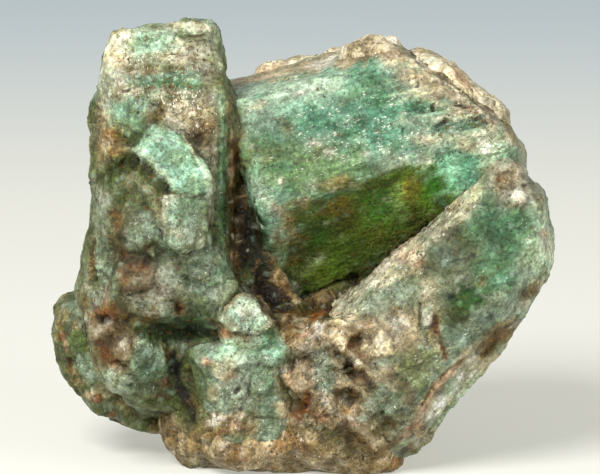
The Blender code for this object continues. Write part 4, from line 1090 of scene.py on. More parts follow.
# The dark band under the flake's lower edge: a shallow recess, painted moss green as the flake's shadow.
ROOF = [(-11.9, 16.5), (-11.0, 17.1), (-10.1, 17.8), (-9.4, 17.4), (-8.7, 16.85), (-7.9, 16.1),
        (-7.4, 15.3), (-8.0, 15.2), (-8.6, 15.9), (-9.3, 16.6), (-10.0, 16.8), (-11.0, 16.2), (-11.8, 15.9)]
LEFT_LAYER = [(-12.9, 22.5), (-11.95, 22.3), (-11.9, 20.0), (-12.1, 16.0), (-12.9, 15.8)]
LEFT_COLUMN = [(-12.2, 15.6), (-11.3, 15.4), (-11.25, 12.4), (-11.6, 10.2), (-12.3, 10.0), (-12.1, 12.8)]
RIGHT_BLOCK = [(-7.1, 11.5), (-6.0, 12.0), (-5.0, 12.0), (-4.4, 11.0), (-3.9, 9.9), (-4.4, 9.0),
               (-6.2, 9.1), (-7.3, 9.4)]
PALE_BLOCK = [(-10.0, 14.2), (-8.15, 14.3), (-8.15, 12.6), (-9.2, 12.2), (-9.8, 12.6)]
AQUA_BLOCK = [(-9.8, 6.9), (-8.9, 6.8), (-8.15, 6.2), (-8.15, 5.2), (-8.7, 4.5), (-9.8, 4.8)]


BAND_SCALE = (0.12, 1.0, 1.0)  # draws the bands near the top out across the crystal
BAND_HEIGHT = 0.1


def upright_crystal():
    """The tall crystal on the left, with a broken aqua flake on its front and rusty growth below."""
    s = Surface("upright_crystal", "upright_beryl")
    close_up(s)
    flake = s.inside(FLAKE)
    banded = s.oval(-8.3, 22.2, 2.8, 1.6)
    bands = layered(s.first * np.array(BAND_SCALE), size=0.42, seed=43)
    crumbly = s.frayed(s.oval(-6.8, 19.9, 1.9, 1.3, turn=-25))
    total = weathered(s, UPRIGHT_AXIS, rough=0.75) * (1 - 0.3 * flake)
    total += banded * BAND_HEIGHT * bands
    total += steps(s, [
        (0.3, 0.08, FLAKE), (-0.12, 0.25, ROOF), (-0.25, 0.1, LEFT_LAYER), (0.08, 0.15, PANEL),
        (0.2, 0.15, RIGHT_BLOCK), (0.12, 0.12, PALE_BLOCK), (0.22, 0.15, AQUA_BLOCK),
        (-0.15, 0.15, [(-11.2, 14.0), (-10.1, 14.0), (-9.9, 11.9), (-11.2, 11.2)]),
        (-0.25, 0.15, [(-10.8, 11.7), (-9.9, 12.0), (-9.0, 11.9), (-8.4, 11.3), (-9.2, 11.1),
                       (-10.4, 11.3)]),
        (-0.15, 0.15, [(-9.2, 12.6), (-8.2, 12.5), (-7.2, 12.0), (-7.4, 11.5), (-8.4, 11.7), (-9.0, 12.0)]),
        (0.15, 0.15, [(-10.0, 9.5), (-8.1, 9.4), (-7.9, 8.3), (-8.8, 8.2), (-10.0, 8.4)]),
        (0.15, 0.12, [(-12.7, 8.6), (-11.7, 8.5), (-10.9, 7.4), (-11.4, 6.8), (-12.4, 6.8)]),
        (0.22, 0.1, [(-10.9, 6.1), (-10.4, 7.0), (-9.9, 6.2), (-9.9, 5.6), (-10.8, 5.6)]),
        (0.12, 0.15, [(-12.1, 5.0), (-9.9, 5.0), (-9.6, 4.0), (-11.4, 3.9)]),
        (-0.15, 0.2, [(-7.2, 8.9), (-5.0, 8.9), (-4.9, 7.8), (-6.8, 7.4), (-7.4, 8.0)]),
    ])
    total += dents(s, [
        (-0.3, -11.5, 7.95, 0.3, 0.3), (-0.25, -7.2, 8.7, 0.16, 0.45), (-0.2, -6.8, 12.0, 0.35, 0.12, 10),
        (-0.25, -10.6, 5.3, 0.5, 0.16, -5), (-0.2, -12.3, 11.4, 0.12, 1.2, 5),
        (0.15, -10.1, 21.6, 0.35, 0.16), (-0.2, -10.3, 21.3, 0.3, 0.12), (-0.2, -6.2, 18.3, 0.35, 0.3, -40),
        (-0.15, -8.4, 20.1, 0.6, 0.25, -20), (0.15, -6.8, 20.4, 0.8, 0.35, -20),
        (-0.12, -9.7, 20.0, 0.16, 0.1), (-0.15, -10.8, 18.4, 0.7, 0.5), (0.2, -6.4, 25.0, 1.0, 0.4),
        (-0.15, -11.1, 14.2, 0.3, 0.14), (-0.15, -6.9, 10.4, 0.3, 0.4),
    ])
    total += grooves(s, [
        (-0.08, 0.12, [(-4.95, 21.0), (-4.95, 17.0), (-5.05, 12.5)]), (0.08, 0.1, FLAKE_RIM),
        (-0.15, 0.1, [(-11.9, 10.8), (-11.5, 10.4)]),
        (0.12, 0.1, [(-11.7, 16.6), (-11.3, 16.95), (-10.6, 17.3)]),
        (-0.15, 0.1, [(-8.15, 15.0), (-8.15, 13.6), (-8.0, 12.8)]),
        (-0.15, 0.1, [(-9.95, 9.4), (-8.8, 9.9), (-8.4, 11.2)]),
    ])
    s.push(total + front_relief(s))

    s.tone[:] = srgb(GREY_GREEN)
    mottles(s, [
        (MILKY, 0.8, 2.0, 31, -0.2, 0.6), (MOSS, 0.5, 1.3, 32, 0.2, 0.7), (TAN, 0.5, 1.1, 33, 0.3, 0.8),
    ])
    fields(s, [
        (PALE_MINT, 0.8, 0.4, [(-11.3, 25.4), (-4.9, 25.4), (-4.9, 23.0), (-9.5, 23.0), (-11.9, 22.6)]),
        (CREAM, 0.8, 0.4, [(-11.2, 25.2), (-10.2, 25.2), (-10.0, 23.2), (-10.8, 21.9), (-12.0, 21.9),
                           (-11.9, 22.8)]),
        (STONE_GREY, 0.85, 0.35, [(-7.4, 24.2), (-5.0, 24.8), (-4.8, 22.4), (-7.4, 22.6)]),
        (STONE_GREY, 0.8, 0.3, [(-11.8, 22.6), (-10.4, 22.9), (-7.2, 22.9), (-5.0, 22.8), (-5.0, 20.8),
                                (-8.6, 20.9), (-11.8, 20.6)]),
        (CREAM, 0.85, 0.3, [(-7.9, 20.5), (-7.0, 21.0), (-5.1, 20.9), (-5.1, 18.6), (-6.3, 19.2),
                            (-7.4, 19.3)]),
        (TAN, 0.85, 0.3, [(-12.0, 20.8), (-10.9, 20.6), (-10.8, 19.2), (-9.9, 18.1), (-10.2, 17.4),
                          (-11.8, 16.6), (-12.2, 18)]),
        (AMBER, 0.7, 0.25, [(-9.1, 20.6), (-8.0, 20.6), (-7.0, 19.4), (-7.6, 19.3), (-8.9, 19.5)]),
        (BROWN, 0.75, 0.3, [(-6.9, 19.2), (-5.2, 19.6), (-5.3, 17.9), (-6.2, 17.7), (-7.0, 18.5)]),
        (SEA_GREEN, 0.85, 0.25, [(-10.9, 20.5), (-9.9, 20.5), (-9.3, 19.2), (-9.3, 18.2), (-10.2, 18.2),
                                 (-10.8, 19.0)]),
        (GREY_GREEN, 0.9, 0.3, [(-11.9, 16.0), (-10.9, 16.4), (-9.9, 16.8), (-9.2, 16.4), (-8.1, 15.2),
                                (-8.1, 14.0), (-10.2, 14.0), (-11.9, 14.4)]),
        (MILKY, 0.85, 0.2, LEFT_COLUMN),
        (AMBER, 0.7, 0.25, [(-11.2, 14.0), (-10.0, 14.0), (-9.9, 11.9), (-11.2, 11.0)]),
        (MILKY, 0.9, 0.2, PALE_BLOCK),
        (MOSS, 0.85, 0.25, [(-9.2, 12.6), (-8.2, 12.6), (-7.1, 12.1), (-7.3, 11.4), (-8.4, 11.6),
                            (-9.0, 12.0)]),
        (BROWN, 0.8, 0.2, [(-11.0, 11.7), (-9.9, 12.0), (-9.0, 11.9), (-8.3, 11.3), (-9.2, 11.0),
                           (-10.8, 11.1)]),
        (TAN, 0.85, 0.25, [(-10.3, 11.0), (-8.9, 11.0), (-8.5, 9.4), (-10.2, 9.4)]),
        (STONE_GREY, 0.8, 0.25, [(-8.8, 11.2), (-7.3, 11.4), (-7.4, 9.5), (-8.6, 9.2)]),
        (MILKY, 0.9, 0.3, RIGHT_BLOCK),
        (STONE_GREY, 0.85, 0.25, [(-10.1, 9.5), (-8.1, 9.3), (-7.8, 8.2), (-8.8, 8.2), (-10.1, 8.4)]),
        (FOREST, 0.8, 0.35, [(-7.2, 9.0), (-5.0, 9.0), (-4.9, 7.6), (-6.4, 6.8), (-9.8, 6.9), (-9.9, 8.2),
                             (-8.4, 7.9), (-7.4, 8.1)]),
        (STONE_GREY, 0.8, 0.3, [(-12.8, 10.0), (-11.3, 9.9), (-10.7, 9.0), (-12.4, 8.5)]),
        (CLAY, 0.85, 0.25, [(-12.8, 8.7), (-11.7, 8.4), (-11.0, 7.4), (-11.4, 6.8), (-12.5, 6.7)]),
        (AMBER, 0.75, 0.25, [(-12.4, 7.0), (-11.2, 7.2), (-10.8, 8.6), (-10.2, 8.4), (-9.7, 6.6),
                             (-9.9, 5.2), (-12.0, 5.2)]),
        (AQUA, 0.75, 0.25, AQUA_BLOCK),
        (STONE_GREY, 0.8, 0.25, [(-12.3, 5.2), (-9.8, 5.0), (-9.4, 4.0), (-11.4, 3.7)]),
        (GREY_GREEN, 0.8, 0.3, [(-10.0, 4.7), (-8.7, 4.5), (-8.4, 4.0), (-9.0, 3.4), (-10.6, 3.8)]),
    ])
    s.tint(ramp(bands, 0.1, 0.5) * banded, CREAM, 0.5)
    s.tint(ramp(bands, -0.1, -0.5) * banded, OLIVE, 0.55)
    crumbs(s, 0.35 + 0.65 * crumbly, IVORY, BROWN, 0.24)
    dabs(s, [
        (MINT, 0.9, -8.8, 24.2, 1.3, 0.6), (AQUA, 0.6, -9.4, 24.2, 0.5, 0.3),
        (SEA_GREEN, 0.5, -7.0, 24.6, 0.5, 0.15), (OLIVE, 0.6, -7.55, 24.6, 0.12, 0.08),
        (BROWN, 0.5, -9.0, 24.9, 0.5, 0.12, -10), (IVORY, 0.7, -10.2, 24.4, 0.3, 0.3),
        (CREAM, 0.7, -8.2, 23.45, 0.8, 0.14), (PEACH, 0.6, -7.2, 23.4, 0.2, 0.3),
        (CREAM, 0.8, -7.3, 24.2, 0.3, 0.12), (PEACH, 0.7, -7.4, 25.2, 0.6, 0.16),
        (CREAM, 0.9, -6.0, 25.1, 0.7, 0.3, -15), (PEACH, 0.5, -10.8, 23.2, 0.5, 0.15, 10),
        (IVORY, 0.8, -11.5, 22.4, 0.35, 0.35), (LEAF, 0.4, -5.4, 23.4, 0.3, 0.3),
        (DEEP_SEA, 0.6, -8.3, 23.05, 0.7, 0.08), (OLIVE, 0.8, -8.8, 22.8, 0.5, 0.14),
        (TAN, 0.7, -8.0, 22.6, 0.9, 0.14), (MOSS, 0.7, -7.4, 22.3, 1.2, 0.2),
        (PEACH, 0.6, -8.7, 22.45, 0.5, 0.07), (STONE_GREY, 0.6, -9.6, 22.2, 0.5, 0.2),
        (MOSS, 0.9, -7.9, 21.8, 1.1, 0.3), (FOREST, 0.7, -8.8, 21.8, 0.4, 0.25),
        (FOREST, 0.6, -7.5, 21.7, 0.5, 0.16), (DEEP_SEA, 0.8, -8.9, 21.15, 0.5, 0.16),
        (SEA_GREEN, 0.6, -6.2, 21.5, 0.5, 0.25, 20), (FOREST, 0.5, -8.1, 21.0, 0.3, 0.12),
        # The brown just under the ivory crumb is painted shadow.
        (IVORY, 0.95, -10.0, 21.6, 0.35, 0.2), (BROWN, 0.9, -10.3, 21.35, 0.35, 0.09),
        (IVORY, 0.7, -9.9, 20.9, 0.25, 0.1, -30), (BROWN, 0.6, -9.95, 21.1, 0.12, 0.08),
        (SOOT_AND_SHADE, 0.8, -9.72, 20.0, 0.14, 0.08), (MOSS, 0.7, -9.5, 19.0, 0.3, 0.3, -40),
        (FOREST, 0.6, -9.7, 18.9, 0.3, 0.2, -40), (MILKY, 0.7, -10.3, 19.6, 0.4, 0.4),
        (IVORY, 0.9, -8.4, 20.85, 0.4, 0.07, 10), (IVORY, 0.9, -7.5, 20.0, 0.35, 0.35),
        (BROWN, 0.8, -8.3, 20.25, 0.4, 0.14), (OLIVE, 0.8, -8.2, 19.7, 0.5, 0.2, -10),
        (OLIVE, 0.8, -7.5, 19.5, 0.25, 0.1, -20), (WHITE, 0.8, -7.8, 19.15, 0.3, 0.1, -10),
        (IVORY, 0.8, -6.9, 19.3, 0.3, 0.16, -40), (CREAM, 0.8, -5.8, 20.7, 0.6, 0.2),
        (AMBER, 0.7, -5.6, 19.3, 0.35, 0.35), (SOOT_AND_SHADE, 0.8, -6.2, 18.3, 0.25, 0.2, -50),
        (SOOT_AND_SHADE, 0.7, -6.0, 17.95, 0.2, 0.1), (CLAY, 0.7, -5.5, 17.9, 0.3, 0.4),
        (CREAM, 0.7, -6.5, 17.5, 0.2, 0.2, -40), (STONE_GREY, 0.9, -5.2, 17.0, 0.2, 1.0),
        (CLAY, 0.6, -11.9, 18.8, 0.2, 0.6), (RUST, 0.8, -11.2, 19.0, 0.3, 0.35),
        (RUST, 0.7, -10.9, 18.6, 0.25, 0.2), (MOSS, 0.8, -10.6, 18.5, 0.35, 0.35),
        (IVORY, 0.5, -11.3, 18.4, 0.25, 0.2), (AMBER, 0.8, -11.0, 17.8, 0.6, 0.25),
        (MOSS, 0.7, -11.4, 17.4, 0.4, 0.25), (IVORY, 0.8, -11.3, 16.9, 0.35, 0.08, 40),
        (CREAM, 0.5, -10.2, 18.05, 0.5, 0.06), (STONE_GREY, 0.7, -11.6, 21.0, 0.4, 0.5),
        (CREAM, 0.6, -11.2, 19.8, 0.4, 0.2, 20), (FOREST, 0.8, -12.1, 21.6, 0.16, 0.9),
        (SEA_GREEN, 0.7, -12.3, 20.9, 0.14, 0.8), (STONE_GREY, 0.6, -12.2, 19.2, 0.2, 0.5),
        (GREY_GREEN, 0.7, -12.4, 17.6, 0.25, 1.4), (STONE_GREY, 0.6, -11.9, 16.2, 0.3, 0.5),
        (MOSS, 0.8, -10.5, 15.2, 0.6, 0.6), (SEA_GREEN, 0.5, -11.2, 16.2, 0.4, 0.2, 30),
        (STONE_GREY, 0.7, -9.9, 16.3, 0.4, 0.25), (IVORY, 0.8, -10.1, 16.75, 0.12, 0.08),
        (STONE_GREY, 0.7, -9.2, 15.7, 0.35, 0.2, -30), (IVORY, 0.6, -10.8, 16.0, 0.16, 0.06, 20),
        (STONE_GREY, 0.7, -11.7, 15.0, 0.3, 0.6), (TAN, 0.7, -8.5, 14.6, 0.3, 0.4),
        (MOSS, 0.6, -9.0, 14.7, 0.3, 0.3), (RUST, 1.0, -11.1, 14.2, 0.4, 0.16),
        (SOOT_AND_SHADE, 0.7, -11.25, 14.15, 0.14, 0.1), (RUST, 0.6, -10.7, 13.5, 0.14, 0.4, -25),
        (OLIVE, 0.7, -10.6, 12.9, 0.5, 0.3), (SOOT_AND_SHADE, 0.7, -10.2, 12.65, 0.2, 0.14),
        (MOSS, 0.6, -10.6, 12.1, 0.4, 0.4), (STONE_GREY, 0.7, -9.4, 13.7, 0.4, 0.3),
        (IVORY, 0.8, -8.6, 13.75, 0.12, 0.1), (AQUA, 0.5, -9.0, 13.2, 0.5, 0.3),
        (SOOT_AND_SHADE, 0.8, -9.6, 11.65, 0.5, 0.12, -5), (SOOT_AND_SHADE, 0.6, -9.3, 11.95, 0.3, 0.08),
        (RUST, 1.0, -9.3, 11.1, 0.8, 0.16, -5), (RUST, 0.8, -10.0, 11.9, 0.4, 0.14, 10),
        (AMBER, 0.7, -9.0, 12.2, 0.4, 0.12), (PEACH, 0.7, -9.5, 11.3, 0.2, 0.05),
        (OLIVE, 0.7, -10.9, 11.0, 0.4, 0.3), (RUST, 0.8, -10.4, 10.6, 0.25, 0.4),
        (PEACH, 0.6, -10.6, 10.7, 0.14, 0.2), (RUST, 1.0, -8.7, 10.6, 0.3, 0.16),
        (IVORY, 0.8, -9.2, 10.5, 0.3, 0.08), (CREAM, 0.6, -10.0, 10.0, 0.16, 0.14),
        (AMBER, 0.7, -9.6, 9.8, 0.5, 0.16), (RUST, 0.6, -10.35, 9.7, 0.1, 0.5),
        (MILKY, 0.6, -8.6, 10.1, 0.16, 0.6), (SEA_GREEN, 0.6, -5.0, 10.4, 0.6, 0.7),
        (AQUA, 0.6, -4.5, 11.0, 0.25, 0.6, 10), (FOREST, 0.8, -5.9, 11.3, 0.4, 0.16),
        (FOREST, 0.7, -6.7, 10.6, 0.2, 0.4, -30), (STONE_GREY, 0.7, -6.0, 10.7, 0.4, 0.25),
        (IVORY, 0.6, -6.7, 9.85, 0.3, 0.07, 20), (STONE_GREY, 0.7, -6.8, 11.8, 0.4, 0.2, 20),
        (MOSS, 0.7, -5.8, 12.0, 0.3, 0.16), (STONE_GREY, 0.5, -4.6, 9.6, 0.5, 0.5),
        (GREY_GREEN, 0.7, -6.4, 9.3, 0.7, 0.3), (MOSS, 0.6, -4.4, 8.9, 0.3, 0.3),
        (AMBER, 0.6, -8.7, 8.8, 0.16, 0.4, -30), (MILKY, 0.9, -7.9, 8.4, 0.3, 0.4),
        (RUST, 1.0, -7.25, 8.8, 0.2, 0.45), (BROWN, 0.8, -7.0, 9.15, 0.3, 0.08),
        (SOOT_AND_SHADE, 0.6, -7.25, 8.3, 0.1, 0.2), (AMBER, 0.6, -9.2, 8.1, 0.8, 0.2),
        (MOSS, 0.6, -8.8, 7.6, 0.8, 0.25), (PALE_MINT, 0.9, -7.6, 10.4, 0.4, 0.5, 20),
        (PALE_MINT, 0.8, -9.1, 9.0, 0.4, 0.25), (PALE_MINT, 0.8, -9.3, 13.2, 0.4, 0.35),
        (PALE_MINT, 0.8, -5.9, 10.8, 0.5, 0.16, 30), (PALE_MINT, 0.7, -6.6, 11.6, 0.3, 0.2, -20),
        (IVORY, 0.9, -11.2, 9.15, 0.14, 0.09), (IVORY, 0.9, -10.4, 9.1, 0.06, 0.08),
        (MILKY, 0.7, -12.3, 9.5, 0.35, 0.4), (CLAY, 0.6, -11.5, 9.4, 0.3, 0.6),
        (RUST, 1.0, -11.5, 8.15, 0.6, 0.45), (AMBER, 0.8, -11.2, 8.7, 0.5, 0.3),
        # The ivory dots at the rust pit are painted highlights.
        (SOOT_AND_SHADE, 0.9, -11.6, 8.0, 0.25, 0.22), (IVORY, 0.9, -11.1, 7.95, 0.1, 0.1),
        (RUST, 0.7, -10.8, 8.7, 0.14, 0.3, 20), (IVORY, 0.9, -11.35, 7.75, 0.1, 0.08),
        (IVORY, 0.7, -11.8, 7.6, 0.2, 0.05), (RUST, 1.0, -11.8, 6.6, 0.45, 0.25, -30),
        (RUST, 0.9, -11.4, 6.0, 0.3, 0.4, 20), (AMBER, 0.8, -12.2, 5.9, 0.25, 0.5),
        (IVORY, 0.8, -12.1, 7.5, 0.3, 0.14), (OLIVE, 0.7, -10.7, 7.4, 0.25, 0.4, -20),
        (IVORY, 1.0, -10.4, 6.6, 0.3, 0.4), (CLAY, 0.9, -10.4, 5.95, 0.5, 0.3),
        (RUST, 0.8, -9.85, 6.6, 0.12, 0.4, 10), (RUST, 0.9, -10.6, 5.35, 0.7, 0.25, -5),
        (BROWN, 1.0, -10.6, 5.3, 0.5, 0.14, -5), (SOOT_AND_SHADE, 0.6, -10.6, 5.25, 0.3, 0.08),
        (MILKY, 0.7, -11.6, 4.8, 0.3, 0.3), (CLAY, 0.6, -11.4, 5.2, 0.4, 0.14),
        (SEA_GREEN, 0.5, -9.0, 5.6, 0.5, 0.6), (IVORY, 0.7, -8.8, 6.55, 0.14, 0.06),
        (IVORY, 0.7, -9.3, 6.85, 0.08, 0.06), (MOSS, 0.6, -9.3, 4.4, 0.4, 0.14),
        (GREY_GREEN, 0.6, -12.9, 12.4, 0.4, 1.6),
    ])
    fields(s, [(MILKY, 0.85, 0.25, PANEL)])
    # Aqua over the flake is its own colour; moss green over the roof is painted shadow under the flake.
    areas(s, [(AQUA, 1.0, 0.12, 0.25, FLAKE, 0.5), (MOSS, 0.95, 0.3, 0.25, ROOF, 0.6)])
    dabs(s, [
        (MINT, 0.7, -7.6, 17.2, 0.9, 0.5, -35), (MILKY, 0.6, -8.5, 18.6, 0.5, 0.5),
        (PALE_MINT, 0.6, -8.2, 19.1, 0.3, 0.12), (IVORY, 0.7, -8.4, 18.35, 0.3, 0.06, 40),
        (PALE_MINT, 0.7, -9.3, 17.9, 0.3, 0.14, -30), (MILKY, 0.6, -7.4, 18.4, 0.4, 0.4),
        (SEA_GREEN, 0.45, -8.1, 18.0, 0.5, 0.1, -30), (SEA_GREEN, 0.35, -6.6, 17.0, 0.5, 0.14, -10),
        (PALE_MINT, 0.6, -7.4, 17.9, 0.3, 0.08, -20), (SEA_GREEN, 0.35, -7.2, 16.5, 0.25, 0.16),
        (MINT, 0.6, -6.2, 16.3, 0.6, 0.5), (GREY_GREEN, 0.4, -6.2, 15.65, 0.3, 0.1),
        (PALE_MINT, 0.9, -7.6, 14.9, 0.45, 0.16), (IVORY, 0.9, -7.6, 14.95, 0.35, 0.08),
        (MINT, 0.8, -6.4, 14.8, 0.8, 0.4), (MINT, 0.5, -7.2, 14.0, 0.7, 0.4),
        (LEAF, 0.5, -6.9, 14.2, 0.16, 0.1, 20), (STONE_GREY, 0.6, -7.2, 13.2, 0.7, 0.3),
        (PEACH, 0.5, -7.0, 12.9, 0.25, 0.12), (STONE_GREY, 0.5, -6.2, 12.6, 0.5, 0.4),
        # The olive dab at the end of this line and the forest and moss dabs under it are painted shadow
        # under the flake.
        (BROWN, 0.7, -5.9, 13.1, 0.07, 0.25, -10), (OLIVE, 0.8, -10.2, 17.3, 0.4, 0.25),
        (FOREST, 0.6, -8.9, 16.5, 0.5, 0.16, -40), (MOSS, 0.6, -9.2, 16.2, 0.3, 0.1),
    ])
    strokes(s, [
        # Pale mint lines along the flake's rims are painted highlights.
        (PALE_MINT, 0.9, 0.09, FLAKE_RIM),
        (PALE_MINT, 0.8, 0.07, [(-5.9, 17.0), (-5.5, 16.7), (-5.3, 16.1)]),
        (SEA_GREEN, 0.7, 0.2, [(-4.75, 21.0), (-4.7, 18.5), (-4.65, 15.0), (-4.75, 12.5)]),
        # The thin pale mint and white lines on the right edge are painted highlights.
        (PALE_MINT, 0.9, 0.06, [(-4.85, 20.9), (-4.7, 20.3), (-4.6, 19.9)]),
        (WHITE, 0.8, 0.07, [(-4.55, 18.5), (-4.5, 18.2)]),
        (FOREST, 0.6, 0.06, [(-4.95, 20.6), (-4.9, 17.5), (-5.0, 15.5)]),
        (PALE_MINT, 0.8, 0.07, [(-5.4, 12.9), (-5.45, 11.8)]),
        (STONE_GREY, 0.9, 0.12, [(-5.2, 18.0), (-5.25, 15.5), (-5.35, 13.6)]),
        (OLIVE, 0.6, 0.07, [(-5.5, 14.8), (-5.4, 13.4)]),
        (BROWN, 0.9, 0.12, [(-12.15, 12.7), (-12.3, 11.5), (-12.2, 10.5)]),
        (AMBER, 0.7, 0.14, [(-12.35, 11.7), (-12.3, 10.6)]),
        (OLIVE, 0.9, 0.07, [(-11.85, 10.8), (-11.55, 10.45)]),
        (AMBER, 0.8, 0.1, [(-12.8, 9.2), (-12.65, 8.6), (-12.5, 8.3)]),
        (BROWN, 0.7, 0.06, [(-12.5, 8.2), (-12.7, 7.4), (-12.4, 6.4), (-12.5, 5.4), (-12.1, 4.4),
                            (-11.5, 3.9)]),
        (BROWN, 0.6, 0.1, [(-10.4, 9.2), (-10.3, 8.4)]), (PEACH, 0.6, 0.05, [(-8.0, 14.9), (-8.05, 13.0)]),
    ])
    front_tint(s)
    contact_rust_and_shade(s)
    strokes(s, [
        # Moss and olive along the flake's lower edge are painted shadow.
        (MOSS, 0.8, 0.35, FLAKE_SHADOW_LINE), (OLIVE, 0.8, 0.2, FLAKE_SHADOW_LINE[2:]),
        # Ivory and pale mint lines on the flake's rims and the panel's top edge are painted highlights.
        (IVORY, 0.35, 0.06, [(-7.0, 18.85), (-6.3, 17.7), (-5.5, 16.3), (-5.45, 15.3)]),
        (PALE_MINT, 0.8, 0.1, [(-9.6, 17.95), (-8.9, 17.35), (-8.2, 16.75), (-7.5, 16.0)]),
        (IVORY, 0.5, 0.07, [(-8.1, 15.1), (-7.2, 15.25), (-5.6, 15.3)]),
    ])
    dabs(s, [
        (AQUA, 0.5, -8.0, 22.1, 2.4, 0.35), (SEA_GREEN, 0.7, -7.6, 21.6, 1.7, 0.28, -3),
        (MOSS, 0.5, -7.9, 22.8, 1.7, 0.16), (AQUA, 0.6, -9.4, 20.6, 1.0, 0.4),
        (AQUA, 0.6, -10.8, 19.9, 0.6, 0.8), (SEA_GREEN, 0.6, -7.2, 20.9, 1.0, 0.16, -4),
        (AMBER, 0.4, -10.6, 18.8, 0.7, 0.6), (MOSS, 0.5, -9.8, 18.6, 0.7, 0.4, 20),
        (PALE_MINT, 0.5, -11.4, 21.8, 0.5, 1.2),
    ])
    shades(s, [
        (1.3, -8.9, 5.6, 0.8, 0.9), (1.2, -10.4, 4.4, 1.5, 0.5, -8), (1.2, -4.7, 10.0, 0.6, 0.9, 20),
        (1.15, -8.4, 22.6, 2.6, 0.3), (1.25, -6.6, 19.6, 0.8, 1.0), (0.6, -9.2, 10.0, 2.0, 1.6),
        (0.85, -10.0, 14.0, 1.7, 1.8), (0.62, -11.1, 6.8, 1.1, 1.7), (0.62, -8.9, 5.7, 0.8, 1.0),
        (0.8, -5.4, 10.2, 1.1, 1.1), (0.65, -6.8, 7.6, 1.8, 0.6), (1.12, -8.2, 24.0, 3.0, 1.0),
        (1.1, -7.8, 21.8, 2.6, 1.0), (1.1, -11.0, 18.8, 0.9, 1.8),
    ])
    s.give("gloss", flake, 0.4)
    sugar_glints = 0.1 + 0.3 * banded + 0.35 * crumbly
    grit = 0.3 + 0.3 * banded + 0.3 * crumbly - 0.3 * flake
    return finished(s, mottled_material(), sugar_glints, grit)


def side_crystal():
    """The small crystal grown against the left edge."""
    s = Surface("side_crystal", "side_beryl")
    close_up(s)
    s.push(weathered(s, None, 0.7) + front_relief(s) + dents(s, [
        (-0.12, -14.3, 6.9, 0.3, 0.5), (-0.15, -13.8, 5.3, 0.3, 0.3), (0.15, -13.2, 7.1, 0.5, 0.6),
        (-0.15, -12.2, 3.3, 0.5, 0.3, 20),
    ]))
    s.tone[:] = srgb(GREY_GREEN)
    mottles(s, [(MILKY, 0.7, 1.6, 51, -0.1, 0.6), (TAN, 0.6, 1.2, 52, 0.2, 0.8)])
    crumbs(s, 0.25, CREAM, BROWN)
    dabs(s, [
        (MILKY, 0.8, -13.6, 8.7, 1.0, 0.35), (TAN, 0.6, -14.3, 8.2, 0.5, 0.5),
        (LEAF, 0.9, -13.3, 6.9, 0.45, 0.6), (TAN, 0.6, -13.3, 7.7, 0.4, 0.25),
        (RUST, 0.8, -14.35, 6.9, 0.2, 0.5, -10), (AMBER, 0.6, -14.4, 7.6, 0.25, 0.4),
        (PEACH, 0.7, -14.0, 6.4, 0.14, 0.4, 20), (BROWN, 0.9, -13.85, 5.3, 0.3, 0.35),
        (AMBER, 0.7, -13.7, 4.8, 0.35, 0.25), (MILKY, 0.9, -13.1, 5.6, 0.5, 0.6),
        (TAN, 0.6, -13.3, 4.3, 0.5, 0.3), (MILKY, 0.6, -12.5, 4.8, 0.3, 0.5),
        (RUST, 0.9, -12.2, 3.3, 0.45, 0.25, 10), (PEACH, 0.6, -12.6, 3.6, 0.4, 0.3),
        (OLIVE, 0.5, -11.8, 2.5, 0.6, 0.5), (RUST, 0.7, -11.3, 2.3, 0.25, 0.16),
        (LEAF, 0.6, -12.4, 2.5, 0.6, 0.4), (MOSS, 0.6, -13.9, 4.0, 0.3, 0.8, 30),
    ])
    contact_rust_and_shade(s)
    return finished(s, mottled_material(), sugar_glints=0.1, grit=0.2)


RIDGE = [(0.9, 7.9), (2.6, 9.3), (4.2, 10.9), (5.8, 12.6), (7.4, 14.2), (9.3, 15.5)]
FOLD = [(12.8, 8.2), (11.6, 7.6), (10.2, 6.7), (8.6, 5.5), (7.3, 3.7), (6.6, 2.6), (5.2, 1.0)]
RIGHT_STRIP = FOLD + [(8.0, 0.2), (11.2, 3.8), (13.6, 7.4)]
OLIVE_LENS = [(11.1, 7.35), (12.1, 7.75), (12.5, 7.2), (11.6, 6.7), (10.8, 6.0), (10.1, 5.9), (10.2, 6.6)]
DARK_INSET = [(8.5, 9.3), (9.1, 9.9), (10.4, 9.95), (10.4, 9.2), (9.9, 8.6), (8.7, 8.7)]
WHITE_PEBBLE = [(6.8, 8.5), (7.1, 8.75), (7.6, 8.6), (7.6, 8.0), (7.3, 7.5), (6.9, 7.6)]
RUST_STREAK = [(7.65, 8.2), (7.75, 7.4), (7.95, 6.7), (8.25, 5.9)]


STRIP_SET_BACK = 0.12  # mm at the fold
STRIP_SLOPE = 0.22  # how fast the strip falls back to the right of the fold
STRIP_REACH = 3  # mm from the fold where it stops falling back
RIDGE_HEIGHT = 0.1


